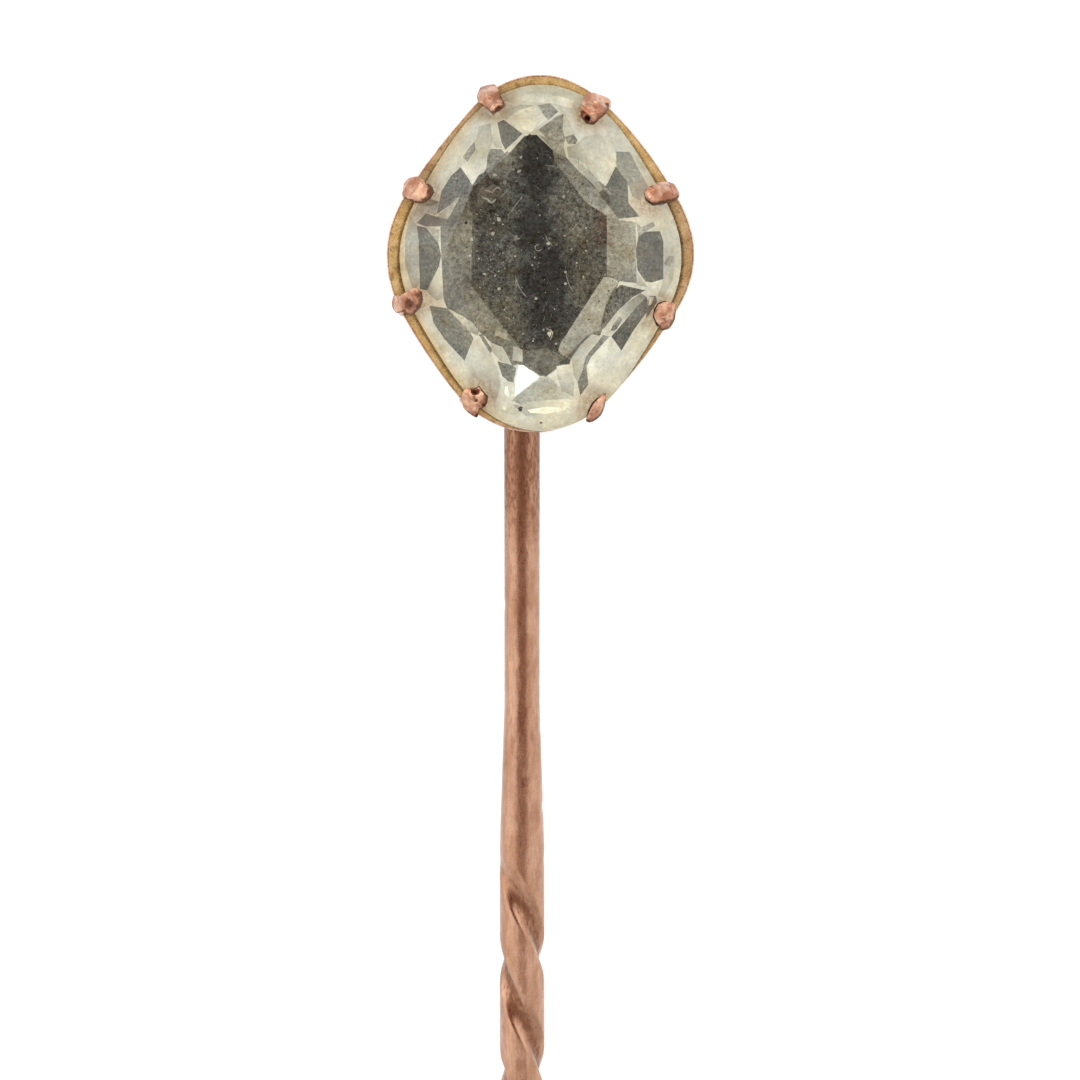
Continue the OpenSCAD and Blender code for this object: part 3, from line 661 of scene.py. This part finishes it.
def aged_metal_group():
    """Worn gold: its colour, with paler rubbed places, brown dirt and painted shade where the mask asks, and
    a fine pitted relief.
    """
    group = bpy.data.node_groups.new("aged_metal", "ShaderNodeTree")
    for name, kind in (("Place", "Vector"), ("Metal", "Color"), ("Rubbed", "Color"), ("Grime And Shade", "Color"),
                       ("Grime Mask", "Float"), ("Spots", "Float")):
        group.interface.new_socket(name, in_out="INPUT", socket_type="NodeSocket" + kind)
    for name, kind in (("Color", "Color"), ("Roughness", "Float"), ("Height", "Float")):
        group.interface.new_socket(name, in_out="OUTPUT", socket_type="NodeSocket" + kind)
    given = group.nodes.new("NodeGroupInput").outputs
    at = given["Place"]
    rubbed = ramp(noise(at, 2.6, 4.0, 0.6), 0.4, 0.64)
    fine = noise(at, 13.0, 4.0, 0.7)
    spots = times(ramp(noise(at, 4.2, 3.0, 0.6), 0.56, 0.68), given["Spots"])
    ragged = scaled(maths("SUBTRACT", fine, 0.5), 1.6, given["Grime Mask"])
    grime_and_shade = maths("MAXIMUM", ramp(ragged, 0.25, 0.8), spots)
    grime_and_shade = node(group, "Clamp", {"Value": grime_and_shade}).outputs[0]
    colour = blend(rubbed, given["Metal"], given["Rubbed"])
    colour = blend(ramp(fine, 0.56, 0.3, 0.0, 0.3), colour, given["Grime And Shade"])
    colour = blend(grime_and_shade, colour, given["Grime And Shade"])
    rough = scaled(grime_and_shade, 0.3, scaled(fine, 0.25, 0.14))
    height = scaled(noise(at, 4.0, 2.0, 0.5), 2.0, times(fine, 0.5))
    feed(group.nodes.new("NodeGroupOutput"), {"Color": colour, "Roughness": rough, "Height": height})
    return group


aged_metal = aged_metal_group()


def gold_material(name, colours, grime_and_shade, spots, relief, stretch=(1, 1, 1), on_bevel=None):
    """Aged metal, shiny under a thin film of old wax.

    The colours are the metal's own and that of rubbed places, and on_bevel is such a pair for where the
    bevel's mask is full.
    """
    made, tree, shader = new_material(name)
    if on_bevel:
        mask = attribute(tree, "bevel")
        colours = [blend(mask, plain, yellow) for plain, yellow in zip(colours, on_bevel)]
    worn = node(tree, "Group", {
        "Place": millimetres(tree, stretch), "Metal": rgba(colours[0]), "Rubbed": rgba(colours[1]),
        "Grime And Shade": rgba(grime_and_shade), "Grime Mask": attribute(tree, "grime_and_shade"), "Spots": spots,
    }, node_tree=aged_metal).outputs
    bump = node(tree, "Bump", {"Height": worn["Height"], "Distance": relief * MM, "Strength": 1.0})
    feed(shader, {
        "Base Color": worn["Color"], "Roughness": worn["Roughness"], "Normal": bump.outputs[0],
        "Metallic": 1, "Coat Weight": 0.2, "Coat Roughness": 0.3})
    return made


# The outside and the inside: share of the rim's radius, height, and how dark it is with grime and painted
# shade.
wall_heights = np.linspace(0.3, RIM_HEIGHT - 0.12, 14)
outside = np.array([
    [BACK_SHARE * 0.5, 0, 0.3], [BACK_SHARE - 0.02, 0, 0.2], [BACK_SHARE - 0.005, 0.02, 0],
    [BACK_SHARE, 0.08, 0], *[[wall_share(z), z, 0] for z in wall_heights], [0.998, RIM_HEIGHT - 0.05, 0],
    [0.995, RIM_HEIGHT - 0.015, 0]])
inside = np.array([
    [MOUTH_SHARE - 0.03, RIM_HEIGHT - 0.5, 1], [BACK_SHARE - 0.05, BACK_THICKNESS + 0.15, 1],
    [BACK_SHARE - 0.07, BACK_THICKNESS, 1], [BACK_SHARE * 0.5, BACK_THICKNESS, 1]])
# The bevel: how far in from the lip to just under the stone's edge, depth below the rim, how yellow, and how
# dark it is with grime and with painted shade where it goes in under the stone.
bevel = np.array([
    [0, 0.002, 0.3, 0], [0.06, 0.014, 0.7, 0], [0.15, 0.032, 1, 0], [0.35, 0.066, 1, 0], [0.55, 0.1, 1, 0],
    [0.75, 0.135, 1, 0.08], [0.87, 0.165, 0.9, 0.4], [1, 0.22, 0.6, 0.9], [0.97, 0.3, 0.3, 1]])
rim = rim_curve(RIM_STEPS)
rim_angle, rim_reach = np.arctan2(rim[:, 1], rim[:, 0]), np.linalg.norm(rim, axis=1)
under_stone = polar(np.minimum(stone_radius(rim_angle) - UNDER_EDGE, BEVEL_SHARE * rim_reach), rim_angle)
# Where the stone comes near the rim, the narrow bevel falls less, so that it slopes alike all round.
width = np.linalg.norm(LIP_SHARE * rim - under_stone, axis=1)
fall = bevel[:, 1:2] * np.clip(width / FULL_WIDTH, LEAST_FALL, 1)
inwards = bevel[:, None, :1]
plan = np.concatenate([outside[:, None, :1] * rim, LIP_SHARE * rim * (1 - inwards) + under_stone * inwards,
                       inside[:, None, :1] * rim])
level_rows = [np.broadcast_to(rows[:, 1:2], (len(rows), len(rim))) for rows in (outside, inside)]
height = np.concatenate([level_rows[0], RIM_HEIGHT - fall, level_rows[1]])
height = np.minimum(height, CULET_Z + drop(pavilion, plan) - SEAT_GAP)
tone = np.repeat(RIM_TONE, RIM_STEPS)
yellow = np.concatenate([0 * outside[:, 2:], bevel[:, 2:3], 0 * inside[:, 2:]]) * tone
grimy_or_shaded = np.concatenate([outside[:, 2:], bevel[:, 3:], inside[:, 2:]]) + 0.15 * (yellow > 0) * (1 - tone)
cup_gold = gold_material("cup_gold", [(0.46, 0.28, 0.2), (0.55, 0.38, 0.29)], (0.09, 0.045, 0.02), 0.4,
                         0.008, on_bevel=[(0.72, 0.48, 0.22), (0.86, 0.64, 0.36)])
make_rows("cup", np.append(plan, height[..., None], axis=-1), {"bevel": yellow, "grime_and_shade": grimy_or_shaded}, cup_gold)


# The claws. Eight stubs of rose gold wire, soldered to the cup's wall, hammered over the stone's edge and
# filed. No two heads are alike.
# One column for each: the width and the thickness of the stub below its head, how far it is tucked in under
# the head, what share of its thickness it keeps up there, and how far it leans aside.
CLAW_NAMES = ["right_upper", "top_right", "top_left", "left_upper", "left_lower", "bottom_left",
              "bottom_right", "right_lower"]
CLAW_WIDTH = np.array([0.56, 0.60, 0.48, 0.60, 0.60, 0.60, 0.50, 0.56])
CLAW_THICKNESS = np.array([0.36, 0.36, 0.36, 0.36, 0.36, 0.30, 0.34, 0.28])
CLAW_TUCK = np.array([0, 0, 0, 0, 0.06, 0.12, 0, 0])
CLAW_TAPER = np.array([1, 1, 1, 1, 1, 1, 0.4, 1])
CLAW_LEAN = np.radians([0, 0, 0, 0, 0, 0, -2.5, 0])
CLAW_FOOT = 1.5
CLAW_SINK = 0.12
# The heads in the same order, from above: an outline as x, y, x, y and so on, and the thickness. Then the
# filed and worn faces, each with the way it falls in degrees, its slope and its height at the head's middle,
# and the dents and pits, each with its place, its radius and its depth.
CLAW_HEADS = [
    ([2.84, 1.76, 2.97, 1.92, 3.17, 2.02, 3.33, 2.08, 3.55, 2.1, 3.72, 1.98, 3.81, 1.82, 3.79, 1.66, 3.63,
      1.58, 3.37, 1.52, 3.09, 1.46, 2.92, 1.58], 0.4,
     [(-82, 0.75, 0.26), (98, 1.3, 0.5), (-10, 0.6, 0.45)], [(3.33, 1.72, 0.14, 0.03)]),
    ([1.19, 4.42, 1.41, 4.54, 1.6, 4.49, 1.82, 4.35, 1.89, 4.22, 1.85, 4.07, 1.76, 3.9, 1.6, 3.76, 1.45,
      3.64, 1.28, 3.66, 1.11, 3.85, 1.11, 4.07, 1.16, 4.3], 0.42,
     [(215, 0.12, 0.31), (125, 0.7, 0.45), (15, 0.6, 0.4), (-60, 0.5, 0.42)],
     [(1.28, 3.78, 0.07, 0.3), (1.63, 4.36, 0.06, 0.08), (1.83, 4.24, 0.06, 0.08)]),
    ([-1.67, 4.72, -1.52, 4.78, -1.26, 4.79, -1.17, 4.63, -1.07, 4.38, -0.98, 4.18, -1.05, 4.04, -1.3, 3.91,
      -1.42, 4.02, -1.6, 4.2, -1.72, 4.3, -1.74, 4.52], 0.4,
     [(205, 0.9, 0.33), (35, 0.35, 0.27), (118, 0.45, 0.42)],
     [(-1.4, 4.36, 0.05, 0.05), (-1.14, 4.02, 0.12, 0.16)]),
    ([-3.79, 1.91, -3.76, 2.09, -3.64, 2.2, -3.42, 2.24, -3.27, 2.17, -3.15, 2.03, -3.01, 1.89, -2.96, 1.78,
      -3.05, 1.63, -3.23, 1.51, -3.4, 1.49, -3.6, 1.57, -3.74, 1.72], 0.4,
     [(180, 0.05, 0.29), (150, 0.6, 0.47), (-70, 0.6, 0.44), (50, 0.7, 0.47)], [(-3.06, 1.78, 0.07, 0.08)]),
    ([-4.11, -1.22, -4.04, -1.04, -3.88, -1.06, -3.72, -0.98, -3.48, -0.87, -3.28, -0.97, -3.25, -1.18,
      -3.32, -1.37, -3.48, -1.56, -3.6, -1.6, -3.78, -1.5, -3.96, -1.51, -4.07, -1.39], 0.4,
     [(180, 0.6, 0.36), (20, 0.3, 0.36), (-80, 0.6, 0.42)],
     [(-3.62, -1.28, 0.17, 0.13), (-3.6, -1.31, 0.08, -0.1), (-3.38, -1.06, 0.08, 0.08),
      (-3.92, -1.22, 0.06, 0.06)]),
    ([-2.17, -3.94, -2.13, -3.7, -1.96, -3.59, -1.8, -3.65, -1.69, -3.57, -1.61, -3.7, -1.47, -3.84, -1.46,
      -4, -1.55, -4.13, -1.67, -4.19, -1.75, -4.39, -1.94, -4.3, -2.12, -4.13], 0.38,
     [(200, 0.45, 0.3), (-50, 0.6, 0.36), (40, 0.4, 0.33)],
     [(-1.79, -3.68, 0.11, 0.18), (-1.76, -3.94, 0.07, 0.09), (-1.71, -4.35, 0.06, 0.12),
      (-1.56, -4.05, 0.05, 0.08)]),
    ([1.8, -3.73, 1.78, -4.01, 1.69, -4.29, 1.54, -4.45, 1.36, -4.53, 1.25, -4.47, 1.35, -4.23, 1.46, -4.03,
      1.59, -3.89, 1.7, -3.78], 0.3,
     [(-28, 0.7, 0.22), (152, 1.2, 0.26)], [(1.52, -4.23, 0.06, 0.04)]),
    ([3.23, -1.31, 3.42, -1.24, 3.67, -1.26, 3.72, -1.46, 3.68, -1.74, 3.52, -1.94, 3.34, -2, 3.23, -1.86,
      3.12, -1.64, 3.15, -1.46], 0.36,
     [(-42, 0.65, 0.27), (130, 0.5, 0.29)], [(3.36, -1.7, 0.07, 0.08), (3.52, -1.6, 0.06, 0.05)]),
]
HEAD_SEED = 20
TRIMMED_CORNERS = 5


def smooth_path(points, steps):
    """A curve through the points: each stretch is a cubic that keeps the slope of its neighbours."""
    p = np.concatenate([2 * points[:1] - points[1:2], points, 2 * points[-1:] - points[-2:-1]])
    t = np.linspace(0, len(points) - 1, steps)
    i = np.minimum(t.astype(int), len(points) - 2)
    t = (t - i)[:, None]
    a, b, c, d = p[i], p[i + 1], p[i + 2], p[i + 3]
    return 0.5 * (2 * b + (c - a) * t + (2 * a - 5 * b + 4 * c - d) * t**2 + (3 * b - a - 3 * c + d) * t**3)


def smooth_step(t):
    """0 below 0, 1 above 1, and an even S between them."""
    t = np.clip(t, 0, 1)
    return t * t * (3 - 2 * t)


def flattened(wave):
    """A wave with fuller sides: its size to the power 0.7, with its sign."""
    return np.sign(wave) * np.abs(wave) ** 0.7


def stub_rows(index, steps=40, sides=24):
    """A rounded strip carried up the wall and bent in over the girdle, where the head takes over."""
    angle, half, taper = CLAW_ANGLE[index] + CLAW_LEAN[index], CLAW_THICKNESS[index] / 2, CLAW_TAPER[index]
    bend = RIM_HEIGHT - 0.7
    foot = RIM_RADIUS[index] * wall_share(CLAW_FOOT) + half - CLAW_SINK
    wall = RIM_RADIUS[index] * wall_share(bend) + half - CLAW_SINK
    beside = max(RIM_RADIUS[index] - 0.05, stone_radius(angle) + half * taper + SEAT_GAP) - CLAW_TUCK[index]
    line = smooth_path(np.array([
        [foot - 0.1, CLAW_FOOT - 0.2], [foot, CLAW_FOOT], [wall, bend], [beside, GIRDLE_LOW - 0.05],
        [beside - 0.03, GIRDLE_TOP - 0.2], [beside - 0.08, GIRDLE_TOP - 0.1]]), steps)
    swell = smooth_path(np.array([[0.45], [0.8], [1], [0.9], [0.7], [0.3]]), steps)
    thin = np.interp(np.linspace(0, 1, steps), [0.35, 0.6], [1, taper])[:, None]
    out = unit_aside(np.gradient(line, axis=0))
    turn = np.linspace(0, 2 * np.pi, sides, endpoint=False)
    thick = half * thin * swell * flattened(np.cos(turn))
    aside = CLAW_WIDTH[index] / 2 * np.sqrt(thin) * swell * flattened(np.sin(turn))
    across = np.array([-np.sin(angle), np.cos(angle)])
    plan = polar(line[:, :1] + out[:, :1] * thick, angle) + across * aside[..., None]
    return np.append(plan, (line[:, 1:] + out[:, 1:] * thick)[..., None], axis=-1)


def head_rows(index, rows=61, sides=72):
    """A flattened pebble over its outline, bent down over the girdle, and a mask of dirt and painted shade:
    darkest underneath, towards the lower right and in its dents.

    Rows run from the middle of the underside, round the edge, to the middle of the top. A row's outline is
    scaled by a power of the cosine of its angle, and its height above the bend makes a superellipse of the
    third power with that scale. Flat faces cut it off above, more trim its corners at random, and dents are
    bells.
    """
    outline, thickness, faces, dents = CLAW_HEADS[index]
    corners = np.array(outline).reshape(-1, 2)
    middle = (corners.min(axis=0) + corners.max(axis=0)) / 2
    around = smooth_path(np.concatenate([corners, corners[:1]]), sides + 1)[:-1] - middle
    around = around if turns_left(around) else around[::-1]
    turn = np.linspace(-0.495 * np.pi, 0.495 * np.pi, rows)[:, None, None]
    width = np.cos(turn) ** 0.8
    off = around * width
    plan = middle + off
    angle, radius = np.arctan2(plan[..., 1], plan[..., 0]), np.linalg.norm(plan, axis=-1)
    edge = stone_radius(angle)
    crown_z = TABLE_Z - drop(crown, polar(np.minimum(radius, edge), angle))
    bed = crown_z - 1.3 * np.clip(radius - edge, 0, None) ** 1.3
    lift = np.sign(turn[..., 0]) * (1 - width[..., 0] ** 3) ** (1 / 3)
    luck = np.random.default_rng(index + HEAD_SEED)
    trims = np.stack([luck.uniform(0, 360, TRIMMED_CORNERS), luck.uniform(0.7, 1.1, TRIMMED_CORNERS),
                      luck.uniform(1.1, 1.35, TRIMMED_CORNERS) * thickness], axis=1)
    way, slope, top = np.concatenate([faces, trims]).T
    faced = np.min(np.maximum(top - off @ polar(slope, np.radians(way)).T, 0.02), axis=-1)
    height = bed + SEAT_GAP + np.minimum(thickness / 2 * (1 + lift), faced)
    pits = np.zeros_like(height)
    for x, y, size, deep in dents:
        bell = np.exp(-((plan[..., 0] - x) ** 2 + (plan[..., 1] - y) ** 2) / size**2 * 1.4) * (lift > 0)
        height = height - deep * bell
        pits = np.maximum(pits, bell * np.clip(deep / 0.12, 0, 1))
    # Painted shade: the head is darker underneath, and most on its side towards the lower right.
    shaded = smooth_step((off @ np.array([0.5, -0.6]) / np.abs(off).max() + 0.35) / 0.6)
    lower = (1 - smooth_step((lift + 0.2 - 0.6 * shaded) / 0.8)) * (0.4 + 0.6 * shaded)
    return np.append(plan, height[..., None], axis=-1), np.clip(0.9 * lower + pits, 0, 1)


claw_gold = gold_material("claw_gold", [(0.3, 0.126, 0.068), (0.52, 0.305, 0.2)], (0.1, 0.036, 0.016), 0.4,
                          0.012)
for index, name in enumerate(CLAW_NAMES):
    make_rows("claw_" + name, stub_rows(index), {"grime_and_shade": 0.1}, claw_gold)
    rows, grime_and_shade = head_rows(index)
    make_rows("claw_head_" + name, rows, {"grime_and_shade": grime_and_shade}, claw_gold)


# The stem. Drawn rose gold wire, soldered to the cup's lower wall. Further down it was gripped and twisted,
# so that two grooves run round it to the left, which keeps it in the cloth. Below the twist it is plain
# again and tapers to a point, which touches the surface that the pin lies on.
STEM_LENGTH = 53.9
STEM_OFFSET = -0.52
STEM_SLOPE = np.radians(2.05)
ROOT_Y = -3.0
# Where the rim is behind the stem, and by what share of that the stem's end is sunk in the wall.
WALL_Y, WALL_SINK = -4.6, 0.03
NECK_RADIUS, TWIST_RADIUS, SHANK_RADIUS, POINT_RADIUS = 0.5, 0.63, 0.5, 0.06
NECK_END = 9.4
TWIST_START = 13.4
TWIST_PITCH = 3.16
TWIST_END = TWIST_START + 4.5 * TWIST_PITCH
SHOULDER = 0.2
POINT_START = STEM_LENGTH - 15
ROUND_START = STEM_LENGTH - POINT_RADIUS
GROOVE_SHARE = 0.32
GROOVE_WIDTH = np.radians(40)
GROOVE_FADE = 1.6
SOLDER_RADIUS, SOLDER_LENGTH = 0.9, 1.5
# Small nicks: how far down the stem, which side in degrees, radius and depth.
NICKS = [
    (12.3, 5, 0.12, 0.05), (10.1, 8, 0.1, 0.03), (6.6, 172, 0.12, 0.025), (8.2, 120, 0.16, 0.03),
    (4.9, 60, 0.14, 0.025), (11.4, 75, 0.18, 0.03), (15.2, 40, 0.15, 0.03), (19.6, 140, 0.16, 0.035),
]


def stem_radius(along):
    """The plain wire's radius at each length: fillet, neck, swelling, twist, shank and point."""
    lengths = [0, NECK_END, TWIST_START, TWIST_END - SHOULDER, TWIST_END + SHOULDER, POINT_START,
               ROUND_START]
    radii = [NECK_RADIUS, NECK_RADIUS, TWIST_RADIUS, TWIST_RADIUS, SHANK_RADIUS, SHANK_RADIUS, POINT_RADIUS]
    plain = np.interp(along, lengths, radii)
    fillet = (SOLDER_RADIUS - NECK_RADIUS) * np.clip(1 - along / SOLDER_LENGTH, 0, 1) ** 1.5
    end = np.clip(along - ROUND_START, 0, POINT_RADIUS)
    return np.where(end > 0, np.sqrt(POINT_RADIUS**2 - end**2), plain + fillet)


along = np.concatenate([
    np.linspace(0, TWIST_START, 160, endpoint=False),
    np.linspace(TWIST_START, TWIST_END, 420, endpoint=False),
    np.linspace(TWIST_END, ROUND_START, 200, endpoint=False),
    STEM_LENGTH - POINT_RADIUS * (1 - np.sin(np.linspace(0, 0.48 * np.pi, 8)))])[:, None]
turn = np.linspace(0, 2 * np.pi, 64, endpoint=False)[None]
from_end = np.minimum(along - TWIST_START, TWIST_END - along)
twist = -np.pi * (along - TWIST_START) / TWIST_PITCH
off = np.minimum(np.abs((turn + np.pi / 2) % np.pi - np.pi / 2) / GROOVE_WIDTH, 1)
cut = GROOVE_SHARE * smooth_step(from_end / GROOVE_FADE) * np.cos(np.pi / 2 * off)
radius = stem_radius(along) * (1 - cut)
for at_length, at_turn, size, deep in NICKS:
    away = np.abs((turn + twist - np.radians(at_turn) + np.pi) % (2 * np.pi) - np.pi) * NECK_RADIUS
    radius = radius - deep * np.exp(-((along - at_length) ** 2 + away**2) / size**2)
root_z = POINT_RADIUS + ROUND_START * np.sin(STEM_SLOPE)
face = radius * np.sin(turn + twist)
stem_rows = np.stack([
    STEM_OFFSET + radius * np.cos(turn + twist),
    ROOT_Y - along * np.cos(STEM_SLOPE) - face * np.sin(STEM_SLOPE),
    root_z - along * np.sin(STEM_SLOPE) + face * np.cos(STEM_SLOPE)], axis=-1)
wall = WALL_Y * (wall_share(stem_rows[..., 2]) - WALL_SINK)
stem_rows[..., 1] = np.minimum(stem_rows[..., 1], wall)
stem_gold = gold_material("stem_gold", [(0.31, 0.16, 0.096), (0.39, 0.225, 0.15)], (0.17, 0.07, 0.035), 0.35,
                          0.006, stretch=(1, 0.3, 1))
# Painted shade: the stem is darker near the head, under it, and darker in its grooves.
shade_near_head = 0.6 * (1 - smooth_step((along - 2.5) / 5.5))
make_rows("stem", stem_rows, {"grime_and_shade": 2.3 * cut + shade_near_head}, stem_gold)


# The studio. A pale floor under a white sky, a brown card above the head that only the metal and the stone
# see, as they saw the camera, and the camera straight above, as in the photograph.
CARD_HEIGHT = 45
CARD = [(-32, 16, 0.5), (-20, 25, 0.65), (-13, 34, 0.85), (-8, 50, 1), (-5, 44, 1), (-2, 24, 1), (30, 24, 1)]
SKY_LIGHT = 1.85
PHOTO_SIDE = 1080
PIXEL = 0.0276
STONE_AT = (540.5, 258.5)
CAMERA_DISTANCE = 130.0


def stage_sheet(name, ends, height, material):
    """A level sheet that isn't part of the pin, from rows of y, half the width there, and a value for the
    attribute "middle", which falls to 0 at both long edges."""
    y, half, value = np.array(ends, float).T
    x = half[:, None] * [-1, -0.55, 0.55, 1]
    points = np.stack(np.broadcast_arrays(x, y[:, None], height), axis=-1).reshape(-1, 3)
    i, j = np.meshgrid(np.arange(len(y) - 1), np.arange(3), indexing="ij")
    first = (4 * i + j).ravel()
    faces = np.stack([first, first + 1, first + 5, first + 4], axis=1)
    sheet = new_object(name, points, faces.tolist())
    write_mask(sheet, "middle", value[:, None] * [0, 1, 1, 0])
    sheet.data.materials.append(material)
    return sheet


paper, tree, shader = new_material("paper")
feed(shader, {"Base Color": (0.9, 0.9, 0.9, 1), "Roughness": 0.9})
stage_sheet("floor", [(-1000, 1000, 0), (1000, 1000, 0)], 0, paper)

brown, tree, shader = new_material("card")
across = blend(attribute(tree, "middle"), (0.95, 0.9, 0.86), (0.2, 0.075, 0.038))
feed(shader, {"Base Color": across, "Specular IOR Level": 0})
card = stage_sheet("card", CARD, CARD_HEIGHT, brown)
card.visible_camera = False
card.visible_diffuse = False
card.visible_shadow = False
card.visible_transmission = False

# The metal and the stone mirror a sky that is brighter above their upper side, and darker low down beyond
# it, as if a dark flag stood there. Everything else is lit evenly.
world = bpy.data.worlds.new("sky")
world.use_nodes = True
sky = world.node_tree
towards = node(sky, "TexCoord").outputs["Generated"]
flag = ramp(vectors("DOT_PRODUCT", towards, (0, 1, -1.5)), 0.75, 0.35, 0.15, 1.0)
mirrored = times(maths("ADD", vectors("DOT_PRODUCT", towards, (-0.18, 0.98, 0)), SKY_LIGHT), flag)
glossy = node(sky, "LightPath").outputs["Is Glossy Ray"]
strength = node(sky, "Mix", {"Factor": glossy, "A": SKY_LIGHT, "B": mirrored}).outputs["Result"]
feed(sky.nodes["Background"], {"Color": (1, 1, 1, 1), "Strength": strength})
scene = bpy.context.scene
scene.world = world
scene.view_settings.view_transform = "Standard"
scene.cycles.max_bounces = 24
scene.cycles.transmission_bounces = 24
scene.cycles.glossy_bounces = 16
scene.cycles.diffuse_bounces = 8

lens = bpy.data.cameras.new("camera")
lens.sensor_width = 36
lens.lens = lens.sensor_width * CAMERA_DISTANCE / (PHOTO_SIDE * PIXEL)
lens.clip_start, lens.clip_end = 0.01, 10
camera = bpy.data.objects.new("camera", lens)
scene.collection.objects.link(camera)
camera.location = ((PHOTO_SIDE / 2 - STONE_AT[0]) * PIXEL * MM, (STONE_AT[1] - PHOTO_SIDE / 2) * PIXEL * MM,
                   (RIM_HEIGHT + CAMERA_DISTANCE) * MM)
scene.camera = camera
